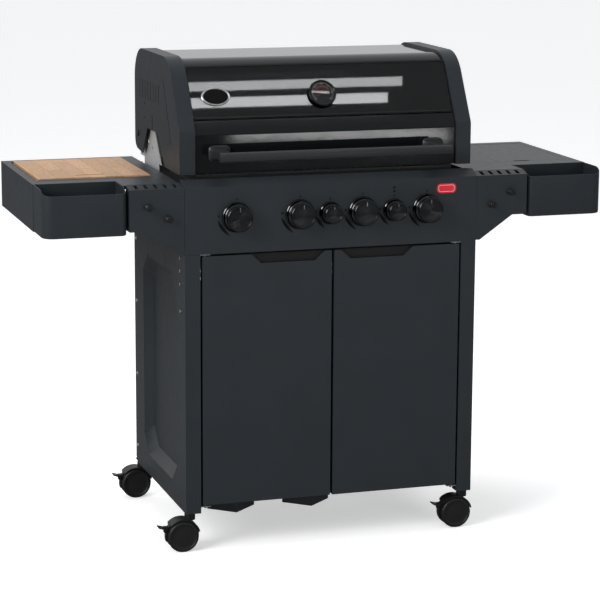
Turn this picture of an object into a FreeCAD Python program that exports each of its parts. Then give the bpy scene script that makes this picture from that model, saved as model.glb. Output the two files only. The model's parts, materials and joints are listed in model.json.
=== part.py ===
"""Gas barbecue grill: four main burners, side burner, cabinet with two doors, on four casters.

Units are millimetres.  X runs to the right, Y to the back, Z up.  Pieces are drawn with
y = 0 on the front face of the doors and z = 0 on the ground; save() then moves each one
by FRONT, so that the origin is below the middle of the whole grill.
"""
import FreeCAD, Part
import math
import os

V = FreeCAD.Vector

# ---- fits --------------------------------------------------------------
GAP = 0.3              # between neighbouring pieces
RUN = 0.05             # radial clearance of a shaft in its bore
SHEET = 2.0            # sheet steel

# ---- cart --------------------------------------------------------------
HALF_WIDTH = 363.0
CART_DEPTH = 501.0
CART_BOTTOM = 94.0
PANEL_BOTTOM = 720.0   # underside of the control panel
PANEL_TOP = 878.0      # top edge of its front face
SIDE_TOP = 872.0
POST_WIDTH = 37.0      # front face folded in from each side panel
POST_RETURN = 30.0
REAR_FLANGE = 23.0
RECESS_DEPTH = 20.0    # pressed pan in each side panel
RECESS_SLOPE = 25.0
RECESS_FRONT, RECESS_BACK = 85.0, CART_DEPTH - 91
RECESS_LOW, RECESS_HIGH = 146.0, 660.0
RECESS_CORNER = 45.0
FLOOR_Z = 113.5
PANEL_DEPTH = 38.0      # control panel
SCREW_Y, SCREW_R = 41.0, 2.5
SCREW_Z = (706.0, 676.0, 645.0, 580.0)
RAIL_WIDTH, RAIL_HEIGHT = 26.0, 19.0

# ---- doors -------------------------------------------------------------
DOOR_SPLIT = 3.0       # half the gap between the doors
DOOR_SIDE_GAP = 5.0
DOOR_BOTTOM, DOOR_TOP = 113.0, 715.0
DOOR_THICK = 18.0
DOOR_PIN_R = 3.0
DOOR_PIN_INSET = 8.0   # from the outer edge of the door
SCOOP_WIDTH, SCOOP_DROP, SCOOP_DEPTH, SCOOP_FLARE = 182.0, 22.0, 11.0, 24.0
SCOOP_INSET = 17.0     # from the free edge of the door

# ---- controls ----------------------------------------------------------
KNOB_Z = 805.0
BIG_KNOBS = (-238.0, -83.0, 73.0, 235.0)
SMALL_KNOBS = (-8.0, 152.0)
BIG_R, SMALL_R = 36.0, 27.5      # bezel radii
KNOB_BACK, KNOB_FRONT = -9.0, -33.0
BEZEL_THICK = 5.0
STEM_R = 4.0
PUSH = 3.0
VALVE_FRONT, VALVE_BACK = 16.0, 39.7
MANIFOLD_R = 9.0

# ---- cookbox -----------------------------------------------------------
BOX_HALF = HALF_WIDTH - 43
BOX_FRONT, BOX_BACK = 60.0, CART_DEPTH - 46
BOX_FLOOR, BOX_TOP = 770.0, 900.0
BOX_WALL = 3.0
FUNNEL_HALF, FUNNEL_FRONT, FUNNEL_BACK, FUNNEL_Z = 150.0, BOX_FRONT + 120, BOX_BACK - 125, 736.0
BURNER_R = 12.5
GRATE_Z, GRATE_THICK = 884.0, 8.0
GRATE_HALF = (BOX_HALF - BOX_WALL - 6.5) / 3
GRATE_PITCH = 2 * GRATE_HALF + 3
TENT_Z = 850.0

# ---- lid ---------------------------------------------------------------
LID_FRONT, LID_BACK = 45.0, CART_DEPTH - 19
LID_BOTTOM, LID_TOP = 902.0, 1165.0
LID_KINK = 1002.0      # where the front leans back
LID_LEAN = 0.6         # rise of y with z on the sloping front
LID_FRONT_R, LID_BACK_R, LID_KINK_R = 95.0, 77.0, 30.0
CAP_WIDTH = 38.0
SHELL_INSET = 6.0
GLASS_LOW, GLASS_HIGH, GLASS_THICK = 1026.0, 1145.0, 4.0
PIVOT_Y, PIVOT_Z, PIVOT_R = LID_BACK - 32, 952.0, 4.0
PLATE_X = HALF_WIDTH - 13
REAR_BAND_LOW = 990.0
HANDLE_Y, HANDLE_Z, HANDLE_R, HANDLE_HALF = -27.0, 949.0, 12.0, HALF_WIDTH - 76
GAUGE_Z, GAUGE_R = 1075.0, 34.0

# ---- shelves -----------------------------------------------------------
SHELF_OUT = HALF_WIDTH + 333
SHELF_TOP = 884.0
SHELF_BACK = CART_DEPTH + 17
SHELF_SIDE_LOW = 772.0
BIN_IN, BIN_FRONT_OUT, BIN_OUT = HALF_WIDTH + 136.3, SHELF_OUT - 12, SHELF_OUT - 1
BIN_BACK = 113.0
BIN_LOW, BIN_LIP = 779.0, 871.0
BRACKET_OUT, BRACKET_LOW = HALF_WIDTH + 131, 780.0
BEVEL_Y, BEVEL_Z = 36.0, 886.0
WELL_IN, WELL_OUT, WELL_FRONT, WELL_BACK = HALF_WIDTH + 37, SHELF_OUT - 19, BIN_BACK + 59, SHELF_BACK - 31
BOARD_THICK = 19.0
BURNER_WELL = 82.0
COVER_FLANGE = 12.0
COVER_PIN_R, COVER_PIN_Y, COVER_PIN_Z = 2.5, WELL_BACK - 13, 876.0

# ---- casters -----------------------------------------------------------
WHEEL_R = 37.5
CASTER_X = HALF_WIDTH - 15
CASTER_FRONT, CASTER_BACK = 24.0, CART_DEPTH - 1
TRAIL = 20.0
CASTER_HALF = 22.0
WEB_HALF = 6.5

front_most = HANDLE_Y - HANDLE_R
back_most = CASTER_BACK + CASTER_HALF
FRONT = -(front_most + back_most) / 2


# ---- helpers -----------------------------------------------------------
def box(x0, x1, y0, y1, z0, z1):
    """A block between two values on each axis."""
    return Part.makeBox(x1 - x0, y1 - y0, z1 - z0, V(x0, y0, z0))


def rod(radius, start, axis, length):
    """A cylinder from a start point along an axis."""
    return Part.makeCylinder(radius, length, V(*start), V(*axis))


def flat(points):
    """A flat face through points given as vectors."""
    return Part.Face(Part.makePolygon(points + [points[0]]))


def prism_x(outline, x0, x1):
    """Extrude an outline of (y, z) points along X."""
    return flat([V(x0, y, z) for y, z in outline]).extrude(V(x1 - x0, 0, 0))


def prism_y(outline, y0, y1):
    """Extrude an outline of (x, z) points along Y."""
    return flat([V(x, y0, z) for x, z in outline]).extrude(V(0, y1 - y0, 0))


def prism_z(outline, z0, z1):
    """Extrude an outline of (x, y) points along Z."""
    return flat([V(x, y, z0) for x, y in outline]).extrude(V(0, 0, z1 - z0))


def hull_between(ring_a, ring_b):
    """A solid with flat faces between two rings of as many points."""
    faces = [flat(ring_a), flat(ring_b)]
    count = len(ring_a)
    for i in range(count):
        j = (i + 1) % count
        faces.append(flat([ring_a[i], ring_a[j], ring_b[j], ring_b[i]]))
    solid = Part.Solid(Part.Shell(faces))
    if solid.Volume < 0:
        solid.reverse()
    return solid


def mirrored(shape):
    """The same shape on the other side of the grill."""
    return shape.mirror(V(0, 0, 0), V(1, 0, 0))


def on_side(shape, side):
    """Keep a shape drawn on the right, or mirror it to the left."""
    return shape if side > 0 else mirrored(shape)


def fused(pieces):
    """One clean solid from touching pieces."""
    return pieces[0].fuse(pieces[1:]).removeSplitter()


def rounded(points, radii):
    """Edges of an outline in the YZ plane, with tangent arcs at the corners that have a radius."""
    corners = [V(0, y, z) for y, z in points]
    count = len(corners)
    starts, ends, mids = [], [], []
    for i, corner in enumerate(corners):
        radius = radii[i]
        before = (corners[i - 1] - corner).normalize()
        after = (corners[(i + 1) % count] - corner).normalize()
        if radius == 0:
            starts.append(corner)
            ends.append(corner)
            mids.append(None)
            continue
        half = before.getAngle(after) / 2
        reach = radius / math.tan(half)
        middle = (before + after).normalize()
        centre = corner + middle * (radius / math.sin(half))
        starts.append(corner + before * reach)
        ends.append(corner + after * reach)
        mids.append(centre - middle * radius)
    edges = []
    for i in range(count):
        if mids[i] is not None:
            edges.append(Part.Arc(starts[i], mids[i], ends[i]).toShape())
        following = starts[(i + 1) % count]
        if (following - ends[i]).Length > 1e-6:
            edges.append(Part.LineSegment(ends[i], following).toShape())
    return edges


def rounded_x(points, radii, x0, x1):
    """Extrude a rounded (y, z) outline along X."""
    face = Part.Face(Part.Wire(rounded(points, radii)))
    face.translate(V(x0, 0, 0))
    return face.extrude(V(x1 - x0, 0, 0))


def save(name, *solids):
    """Write one node, moved so that the origin is under the middle of the grill."""
    shape = solids[0] if len(solids) == 1 else Part.makeCompound(list(solids))
    shape = shape.copy()
    shape.translate(V(0, FRONT, 0))
    bad = [s for s in shape.Solids if not s.isValid() or s.Volume <= 0]
    print(f"{name:24s} solids {len(shape.Solids):3d}  volume {shape.Volume:12.0f}  bad {len(bad)}")
    shape.exportStep(f"parts/{name}.step")


# ---- cart --------------------------------------------------------------
def recess_ring(x, inset):
    """Eight-cornered outline of the pressed pan at a given x, drawn in by inset."""
    y0, y1 = RECESS_FRONT + inset, RECESS_BACK - inset
    z0, z1 = RECESS_LOW + inset, RECESS_HIGH - inset
    c = RECESS_CORNER
    ring = [(y0 + c, z0), (y1 - c, z0), (y1, z0 + c), (y1, z1 - c),
            (y1 - c, z1), (y0 + c, z1), (y0, z1 - c), (y0, z0 + c)]
    return [V(x, y, z) for y, z in ring]


def side_panel(side):
    """Side sheet with its pressed pan, the folded front post and the rear flange."""
    outer, inner = HALF_WIDTH, HALF_WIDTH - SHEET
    post_top = PANEL_BOTTOM - GAP
    cut = 12.0
    outline = [(0, CART_BOTTOM), (CART_DEPTH - cut, CART_BOTTOM), (CART_DEPTH, CART_BOTTOM + cut),
               (CART_DEPTH, SIDE_TOP), (PANEL_DEPTH + GAP, SIDE_TOP), (PANEL_DEPTH + GAP, post_top),
               (0, post_top)]
    sheet = prism_x(outline, inner, outer)
    post_in = outer - POST_WIDTH
    post = box(post_in, outer, 0, SHEET, CART_BOTTOM, post_top)
    post_return = box(post_in, post_in + SHEET, 0, POST_RETURN, CART_BOTTOM, post_top)
    rear = box(outer - REAR_FLANGE, outer, CART_DEPTH - SHEET, CART_DEPTH, CART_BOTTOM + cut, SIDE_TOP)
    pan_back = hull_between(recess_ring(outer, -SHEET),
                            recess_ring(outer - RECESS_DEPTH - SHEET, RECESS_SLOPE))
    pan_front = hull_between(recess_ring(outer + 0.01, 0), recess_ring(outer - RECESS_DEPTH, RECESS_SLOPE))
    panel = fused([sheet, post, post_return, rear, pan_back]).cut(pan_front)
    for z in SCREW_Z:
        panel = panel.cut(rod(SCREW_R, (inner - 1, SCREW_Y, z), (1, 0, 0), SHEET + 2))
    return on_side(panel.removeSplitter(), side)


def side_screws():
    """Pan-head screws in the side panels."""
    screws = []
    for side in (-1, 1):
        for z in SCREW_Z:
            head = rod(4.5, (HALF_WIDTH, SCREW_Y, z), (1, 0, 0), 2.5)
            shank = rod(SCREW_R - RUN, (HALF_WIDTH - 10, SCREW_Y, z), (1, 0, 0), 10)
            screws.append(on_side(head.fuse(shank).removeSplitter(), side))
    return screws


def base_rail(side):
    """Box-section rail along the bottom edge of a side, which carries two casters."""
    x1 = HALF_WIDTH - SHEET - GAP
    x0 = x1 - RAIL_WIDTH
    z0, z1 = CART_BOTTOM, CART_BOTTOM + RAIL_HEIGHT
    y0, y1 = SHEET + GAP, CASTER_BACK + 16
    rear = CART_DEPTH + GAP
    tube = box(x0, x1, y0, rear, z0, z1)
    tail = box(x0, x1, y0, y1, z0, z0 + SHEET * 2)
    hollow = box(x0 + SHEET, x1 - SHEET, y0 - 1, y1 + 1, z0 + SHEET * 2, z1 - SHEET)
    clear_flange = box(x0 - 1, x1 + 1, CART_DEPTH - SHEET - GAP, y1 + 1, CART_BOTTOM + 12 - GAP, z1 + 1)
    rail = tube.fuse(tail).cut(hollow).cut(clear_flange)
    for y in (CASTER_FRONT, CASTER_BACK):
        rail = rail.cut(rod(STEM_R + RUN, (CASTER_X, y, z0 - 1), (0, 0, 1), SHEET * 2 + 2))
    return on_side(rail.removeSplitter(), side)


def floor_pan():
    """Cabinet floor with upturned edges."""
    x = HALF_WIDTH - SHEET - GAP
    y0, y1 = POST_RETURN + GAP, CART_DEPTH - SHEET * 2 - 2 * GAP
    pan = box(-x, x, y0, y1, FLOOR_Z, FLOOR_Z + 18)
    return pan.cut(box(-x + SHEET, x - SHEET, y0 + SHEET, y1 - SHEET, FLOOR_Z + SHEET, FLOOR_Z + 30))


def floor_wedge(x):
    """Pressed stiffener under the floor, pointed to the front."""
    half, front, depth, drop = 60.0, 60.0, 104.0, 44.0
    top = FLOOR_Z - 0.05
    outline = [(x, front), (x + half, front + depth / 2), (x, front + depth), (x - half, front + depth / 2)]
    inner = [(x, front + 3), (x + half - 3, front + depth / 2), (x, front + depth - 3),
             (x - half + 3, front + depth / 2)]
    return prism_z(outline, top - drop, top).cut(prism_z(inner, top - drop + SHEET, top + 1))


def cross_rails():
    """Two channels across the cart under the grease tray."""
    x = HALF_WIDTH - SHEET - GAP
    rails = []
    for y in (32.0, CART_DEPTH - 34.0):
        tube = box(-x, x, y, y + 20, 684, 702)
        rails.append(tube.cut(box(-x - 1, x + 1, y + SHEET, y + 20 - SHEET, 684 + SHEET, 702 - SHEET)))
    return rails


def back_panel():
    """Rear sheet of the cabinet with vent slots."""
    x = HALF_WIDTH - SHEET - GAP
    y1 = CART_DEPTH - SHEET - GAP
    sheet = box(-x, x, y1 - SHEET, y1, FLOOR_Z + 0.5, 683.5)
    for row in range(5):
        for column in range(-3, 4):
            centre, z = column * 84.0, 560 + row * 20.0
            sheet = sheet.cut(box(centre - 28, centre + 28, y1 - 5, y1 + 1, z, z + 7))
    return sheet


# ---- doors -------------------------------------------------------------
DOOR_OUT = HALF_WIDTH - POST_WIDTH - DOOR_SIDE_GAP
DOOR_PIN_X = DOOR_OUT - DOOR_PIN_INSET
DOOR_PIN_Y = DOOR_THICK / 2


def scoop_outline(grow):
    """Finger scoop at the top of the right door, as (x, z) points."""
    x0 = DOOR_SPLIT + SCOOP_INSET
    x1 = x0 + SCOOP_WIDTH
    low = DOOR_TOP - SCOOP_DROP
    return [(x0 - grow, DOOR_TOP), (x0 + SCOOP_FLARE - grow, low - grow),
            (x1 - SCOOP_FLARE + grow, low - grow), (x1 + grow, DOOR_TOP)]


def door(side):
    """Folded door pan with a finger scoop and two bushed corners for its pivot pins."""
    wall = 1.5
    pan = box(DOOR_SPLIT, DOOR_OUT, 0, DOOR_THICK, DOOR_BOTTOM, DOOR_TOP)
    pan = pan.cut(box(DOOR_SPLIT + wall, DOOR_OUT - wall, wall, DOOR_THICK + 1,
                      DOOR_BOTTOM + wall, DOOR_TOP - wall))
    bushes = []
    for z0 in (DOOR_BOTTOM, DOOR_TOP - 14):
        bushes.append(box(DOOR_PIN_X - 6, DOOR_OUT, 0, DOOR_THICK - 2, z0, z0 + 14))
    pocket = prism_y(scoop_outline(wall), 0, SCOOP_DEPTH + wall)
    panel = fused([pan, pocket] + bushes)
    panel = panel.cut(prism_y(scoop_outline(0), -1, SCOOP_DEPTH))
    panel = panel.cut(box(DOOR_SPLIT, DOOR_OUT, -1, SCOOP_DEPTH, DOOR_TOP, DOOR_TOP + 5))
    for z0 in (DOOR_BOTTOM - 1, DOOR_TOP - 12):
        panel = panel.cut(rod(DOOR_PIN_R + RUN, (DOOR_PIN_X, DOOR_PIN_Y, z0), (0, 0, 1), 13))
    return on_side(panel.removeSplitter(), side)


def door_fittings():
    """Pivot brackets with their pins, and the catches behind the free edges."""
    pieces = []
    for side in (-1, 1):
        x0, x1 = DOOR_PIN_X - 12, HALF_WIDTH - POST_WIDTH - GAP
        low = box(x0, x1, 2, POST_RETURN + 6, DOOR_BOTTOM - 5, DOOR_BOTTOM - 3)
        low_pin = rod(DOOR_PIN_R, (DOOR_PIN_X, DOOR_PIN_Y, DOOR_BOTTOM - 9), (0, 0, 1), 19)
        riser = box(x0, x1, POST_RETURN + 4, POST_RETURN + 6, DOOR_BOTTOM - 5, FLOOR_Z - 0.05)
        high = box(x0, x1, 2, POST_RETURN - 1, PANEL_BOTTOM - 2.5, PANEL_BOTTOM - 0.5)
        high_pin = rod(DOOR_PIN_R, (DOOR_PIN_X, DOOR_PIN_Y, DOOR_TOP - 10), (0, 0, 1), 14)
        pieces.append(on_side(fused([low, riser, low_pin]), side))
        pieces.append(on_side(fused([high, high_pin]), side))
        catch = box(8, 40, DOOR_THICK + GAP, 32 - 0.05, 686, 699)
        pieces.append(on_side(catch, side))
    return pieces


# ---- controls ----------------------------------------------------------
def control_panel():
    """Front panel: bottom return, face, bevel and top return, with end flanges and stem holes."""
    x = HALF_WIDTH
    t = SHEET
    outer = [(0, PANEL_BOTTOM), (0, PANEL_TOP), (30, 892), (PANEL_DEPTH + 6, 892),
             (PANEL_DEPTH + 6, 892 - t), (31, 892 - t), (t, PANEL_TOP - 1), (t, PANEL_BOTTOM + t),
             (POST_RETURN, PANEL_BOTTOM + t), (POST_RETURN, PANEL_BOTTOM)]
    skin = prism_x(outer, -x, x)
    end = [(0, PANEL_BOTTOM), (0, PANEL_TOP), (30, 892), (PANEL_DEPTH, 892), (PANEL_DEPTH, PANEL_BOTTOM)]
    panel = fused([skin, prism_x(end, -x, -x + t), prism_x(end, x - t, x)])
    for knob_x in BIG_KNOBS + SMALL_KNOBS:
        panel = panel.cut(rod(7.0, (knob_x, -1, KNOB_Z), (0, 1, 0), t + 2))
    return panel


def bezel(knob_x, radius):
    """Dished ring round a knob."""
    ring = Part.makeCone(radius, radius - 3, BEZEL_THICK, V(knob_x, 0, KNOB_Z), V(0, -1, 0))
    return ring.cut(rod(radius - 9, (knob_x, 1, KNOB_Z), (0, -1, 0), BEZEL_THICK + 2))


def knob(knob_x, radius):
    """Turned knob: skirt, waist and a grip with a raised pointer, bored for its stem."""
    r = radius - 3.5
    profile = [(0, KNOB_BACK), (r, KNOB_BACK), (r, KNOB_BACK - 4), (r - 4, KNOB_BACK - 7),
               (r - 4, KNOB_FRONT + 3), (r - 6.5, KNOB_FRONT), (0, KNOB_FRONT)]
    face = flat([V(knob_x + a, y, KNOB_Z) for a, y in profile])
    body = face.revolve(V(knob_x, 0, KNOB_Z), V(0, 1, 0), 360)
    pointer = box(knob_x - 1.5, knob_x + 1.5, KNOB_FRONT - 1, KNOB_FRONT + 5,
                  KNOB_Z + r - 12, KNOB_Z + r - 4.5)
    bore = rod(STEM_R + RUN, (knob_x, KNOB_BACK + 1, KNOB_Z), (0, -1, 0), 17)
    return fused([body, pointer]).cut(bore)


def valve_stem(knob_x):
    """Stem that a knob sits on; it slides into its valve when pushed."""
    return rod(STEM_R, (knob_x, KNOB_BACK - 15, KNOB_Z), (0, 1, 0), 33 - (KNOB_BACK - 15))


def gas_manifold():
    """Gas rail with one valve for each knob and a threaded inlet."""
    low = KNOB_Z - 16
    rail_z = low - MANIFOLD_R + 2
    pipe = rod(MANIFOLD_R, (-300, 28, rail_z), (1, 0, 0), 600)
    nut = rod(MANIFOLD_R + 4, (-312, 28, rail_z), (1, 0, 0), 16)
    pieces = [pipe, nut, rod(6.5, (-328, 28, rail_z), (1, 0, 0), 18)]
    for knob_x in BIG_KNOBS + SMALL_KNOBS:
        pieces.append(box(knob_x - 11, knob_x + 11, VALVE_FRONT, VALVE_BACK, low, KNOB_Z + 13))
    rail = fused(pieces)
    for knob_x in BIG_KNOBS + SMALL_KNOBS:
        rail = rail.cut(rod(STEM_R + RUN, (knob_x, VALVE_FRONT - 1, KNOB_Z), (0, 1, 0), 22))
    return rail


# ---- cookbox -----------------------------------------------------------
def box_ring(half, front, back, z):
    """Four corners of the cookbox at a height."""
    return [V(-half, front, z), V(half, front, z), V(half, back, z), V(-half, back, z)]


def firebox():
    """Cookbox with sloping floor, open to the grease tray, and ledges for tents and grates."""
    w = BOX_WALL
    outer = box(-BOX_HALF, BOX_HALF, BOX_FRONT, BOX_BACK, BOX_FLOOR, BOX_TOP)
    inner = box(-BOX_HALF + w, BOX_HALF - w, BOX_FRONT + w, BOX_BACK - w, BOX_FLOOR - 1, BOX_TOP + 1)
    funnel = hull_between(box_ring(BOX_HALF, BOX_FRONT, BOX_BACK, BOX_FLOOR),
                          box_ring(FUNNEL_HALF, FUNNEL_FRONT, FUNNEL_BACK, FUNNEL_Z))
    throat = hull_between(box_ring(BOX_HALF - w, BOX_FRONT + w, BOX_BACK - w, BOX_FLOOR + w),
                          box_ring(FUNNEL_HALF - w, FUNNEL_FRONT + w, FUNNEL_BACK - w, FUNNEL_Z - 0.01))
    shell = fused([outer.cut(inner), funnel])
    shell = shell.cut(throat)
    ledges = []
    for z in (TENT_Z, GRATE_Z):
        ledges.append(box(-BOX_HALF + w, BOX_HALF - w, BOX_FRONT + w, BOX_FRONT + w + 8, z - 4, z))
        ledges.append(box(-BOX_HALF + w, BOX_HALF - w, BOX_BACK - w - 8, BOX_BACK - w, z - 4, z))
    shell = fused([shell] + ledges)
    for x in BIG_KNOBS:
        shell = shell.cut(rod(BURNER_R + GAP, (x, BOX_FRONT - 1, KNOB_Z), (0, 1, 0), w + 2))
    return shell


def firebox_bracket(side):
    """Angle that carries the cookbox from a side panel."""
    x0, x1 = BOX_HALF + GAP, HALF_WIDTH - SHEET - GAP
    return on_side(fused([box(x0, x1, 70, BOX_BACK + 25, 850, 852),
                          box(x1 - SHEET, x1, 70, BOX_BACK + 25, 820, 850),
                          box(x0, x0 + SHEET, 70, BOX_BACK, 852, 880)]), side)


def burner(x):
    """Tube burner with two rows of ports."""
    length = BOX_BACK - BOX_WALL - GAP - VALVE_BACK - GAP
    tube = rod(BURNER_R, (x, VALVE_BACK + GAP, KNOB_Z), (0, 1, 0), length)
    return tube.cut(rod(BURNER_R - 1.5, (x, VALVE_BACK, KNOB_Z), (0, 1, 0), length - 4))


def heat_tent(x):
    """Ridge sheet over a burner."""
    half, rise, t = 45.0, 20.0, 1.5
    z = TENT_Z + 0.05
    ridge = [(x - half, z), (x, z + rise), (x + half, z),
             (x + half - 3, z), (x, z + rise - t), (x - half + 3, z)]
    return prism_y(ridge, BOX_FRONT + BOX_WALL + GAP, BOX_BACK - BOX_WALL - GAP)


def cooking_grate(x):
    """Cast grate: frame, long bars and one cross bar."""
    half, bar = GRATE_HALF, 8.0
    y0, y1 = BOX_FRONT + BOX_WALL + 2, BOX_BACK - BOX_WALL - 2
    z0, z1 = GRATE_Z + 0.05, GRATE_Z + GRATE_THICK
    grate = box(x - half, x + half, y0, y1, z0, z1)
    count = 11
    pitch = (2 * half - bar) / (count + 1)
    middle = (y0 + y1) / 2
    slots = []
    for i in range(count + 1):
        left = x - half + bar + i * pitch
        right = left + pitch - bar
        slots.append(box(left, right, y0 + bar, middle - bar / 2, z0 - 1, z1 + 1))
        slots.append(box(left, right, middle + bar / 2, y1 - bar, z0 - 1, z1 + 1))
    return grate.cut(slots)


def warming_rack():
    """Wire rack above the back of the grates, on four straps inside the cookbox."""
    x = BOX_HALF - BOX_WALL - GAP
    y0, y1, z = BOX_BACK - 190, BOX_BACK - 50, 960.0
    pieces = []
    for end in (-1, 1):
        for y in (y0, y1 - 20):
            strap = box(x - 3, x, y, y + 20, BOX_TOP - 16, z + 3)
            pieces.append(on_side(strap, end))
        pieces.append(on_side(box(x - 3, x, y0, y1, z - 3, z + 3), end))
    for y in (y0 + 3, y1 - 3):
        pieces.append(rod(3.0, (-x + 1, y, z), (1, 0, 0), 2 * x - 2))
    count = 5
    for i in range(count):
        y = y0 + 3 + (y1 - y0 - 6) * (i + 1) / (count + 1)
        pieces.append(rod(2.0, (-x + 1, y, z), (1, 0, 0), 2 * x - 2))
    return fused(pieces)


# ---- lid ---------------------------------------------------------------
def lid_outline(inset, bottom):
    """Corner points and radii of the lid's section, drawn in by inset."""
    norm = math.hypot(1, LID_LEAN)
    y_front = LID_FRONT + inset
    slope_y = LID_FRONT + inset * norm          # y of the sloping line at the height of the kink
    kink_z = LID_KINK + (y_front - slope_y) / LID_LEAN
    top = LID_TOP - inset
    top_y = slope_y + (top - LID_KINK) * LID_LEAN
    back = LID_BACK - inset
    points = [(y_front, bottom), (y_front, kink_z), (top_y, top), (back, top), (back, bottom)]
    return points, [0, LID_KINK_R + inset, LID_FRONT_R - inset, LID_BACK_R - inset, 0]


def slope_point(inset, z):
    """Point on the lid's sloping front at a height, drawn in by inset."""
    return LID_FRONT + inset * math.hypot(1, LID_LEAN) + (z - LID_KINK) * LID_LEAN, z


def across_slope(inset_out, inset_in, low, high):
    """Outline of a plate that lies in the sloping front between two heights of its outer face."""
    norm = math.hypot(1, LID_LEAN)
    step = inset_in - inset_out
    y0, z0 = slope_point(inset_out, low)
    y1, z1 = slope_point(inset_out, high)
    dy, dz = step / norm, -step * LID_LEAN / norm
    return [(y0, z0), (y1, z1), (y1 + dy, z1 + dz), (y0 + dy, z0 + dz)]


VENT_Y = [PIVOT_Y - 210 + 186.0 * i / 7 for i in range(8)]
VENT_LOW, VENT_HIGH = 1045.0, 1090.0


def cut_vents(shape, x0, x1):
    """Eight upright vent slots through one end of the lid."""
    for y in VENT_Y:
        shape = shape.cut(box(x0, x1, y - 2, y + 2, VENT_LOW, VENT_HIGH))
    return shape


def lid_shell():
    """Enamelled lid between the end caps, open at the bottom and at the window."""
    x = HALF_WIDTH - CAP_WIDTH
    bottom = LID_BOTTOM + 1
    points, radii = lid_outline(SHELL_INSET, bottom)
    points_in, radii_in = lid_outline(SHELL_INSET + SHEET, bottom - 1)
    outer = rounded_x(points, radii, -x, x)
    inner = rounded_x(points_in, radii_in, -x + SHEET, x - SHEET)
    shell = outer.cut(inner)
    shell = shell.cut(box(-x - 1, x + 1, LID_BACK - 60, LID_BACK, bottom - 1, bottom + 22))
    cut = across_slope(SHELL_INSET - 3, SHELL_INSET + 14, GLASS_LOW, GLASS_HIGH)
    window = prism_x(cut, -x + SHEET, x - SHEET)
    shell = shell.cut(window)
    shell = cut_vents(shell, -x - 1, -x + SHEET + 1)
    shell = cut_vents(shell, x - SHEET - 1, x + 1)
    return shell.removeSplitter()


def lid_window():
    """Flat glass in the sloping front, drilled for the thermometer."""
    x = HALF_WIDTH - CAP_WIDTH - SHEET - GAP
    outline = across_slope(SHELL_INSET, SHELL_INSET + GLASS_THICK, GLASS_LOW + GAP, GLASS_HIGH - GAP)
    glass = prism_x(outline, -x, x)
    y, z = slope_point(SHELL_INSET, GAUGE_Z)
    norm = math.hypot(1, LID_LEAN)
    start = (0, y - 10 / norm, z + 10 * LID_LEAN / norm)
    return glass.cut(rod(5.0, start, (0, 1 / norm, -LID_LEAN / norm), 30))


def thermometer():
    """Round gauge on the glass, with a nut behind and a probe."""
    norm = math.hypot(1, LID_LEAN)
    y, z = slope_point(SHELL_INSET, GAUGE_Z)
    out = V(0, -1 / norm, LID_LEAN / norm)
    face = V(0, y, z) + out * 0.05
    inside = V(0, y, z) - out * (GLASS_THICK + 0.05)
    bezel_ring = Part.makeCylinder(GAUGE_R, 11, face, out)
    dial = Part.makeCylinder(GAUGE_R - 4, 3, face + out * 9, out)
    stem = Part.makeCylinder(4.7, GLASS_THICK + 12, face, out * -1)
    nut = Part.makeCylinder(9, 5, inside, out * -1)
    probe = Part.makeCylinder(2.5, 40, inside, out * -1)
    return fused([bezel_ring.cut(dial), stem, nut, probe])


def cap_outline(inset):
    """Side view of an end cap with its notch for the hinge plate."""
    points, radii = lid_outline(inset, LID_BOTTOM)
    notch = [(PIVOT_Y - 45, 907), (PIVOT_Y - 94, 975), (PIVOT_Y - 200, 975), (PIVOT_Y - 265, LID_BOTTOM)]
    points = points[:4] + [(LID_BACK - inset, 915)] + notch
    radii = radii[:4] + [28, 0, 0, 0, 0]
    radii[1] = 12
    return points, radii


def lid_cap(side):
    """End cap: side sheet, proud band round the front, top and back, and an inner flange."""
    x1 = HALF_WIDTH
    x0 = HALF_WIDTH - CAP_WIDTH + GAP
    sheet = rounded_x(*cap_outline(0), x1 - SHEET, x1)
    points, radii = lid_outline(0, LID_BOTTOM)
    points_in, radii_in = lid_outline(SHEET, LID_BOTTOM - 1)
    points_deep, radii_deep = lid_outline(24, LID_BOTTOM - 1)
    radii[1], radii_in[1] = 12, 12 + SHEET
    band = rounded_x(points, radii, x0, x1 - SHEET).cut(rounded_x(points_in, radii_in, x0 - 1, x1))
    flange = rounded_x(points, radii, x0, x0 + SHEET).cut(rounded_x(points_deep, radii_deep, x0 - 1, x1))
    low_rear = box(x0 - 1, x1 - SHEET, LID_BACK - 60, LID_BACK + 1, LID_BOTTOM - 1, REAR_BAND_LOW)
    rim = band.fuse(flange).cut(low_rear)
    cap = fused([sheet, rim])
    cap = cut_vents(cap, x1 - SHEET - 1, x1 + 1)
    for back, z, r in ((71, 1033, 3), (121, 1046, 2), (65, 997, 2)):
        cap = cap.cut(rod(r, (x1 - SHEET - 1, PIVOT_Y - back, z), (1, 0, 0), SHEET + 2))
    cap = cap.cut(box(x1 - SHEET - 1, x1 + 1, PIVOT_Y - 147, PIVOT_Y - 142, 974, 1012))
    cap = cap.cut(rod(PIVOT_R + RUN, (x1 - SHEET - 1, PIVOT_Y, PIVOT_Z), (1, 0, 0), SHEET + 2))
    groove = prism_x([(195, 1112), (164, 1050), (125, 971), (135, 957), (167, 957), (167, 961), (138, 961),
                      (130, 972), (168, 1049), (199, 1110)], x1 - 0.8, x1 + 1)
    return on_side(cap.cut(groove).removeSplitter(), side)


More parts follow.
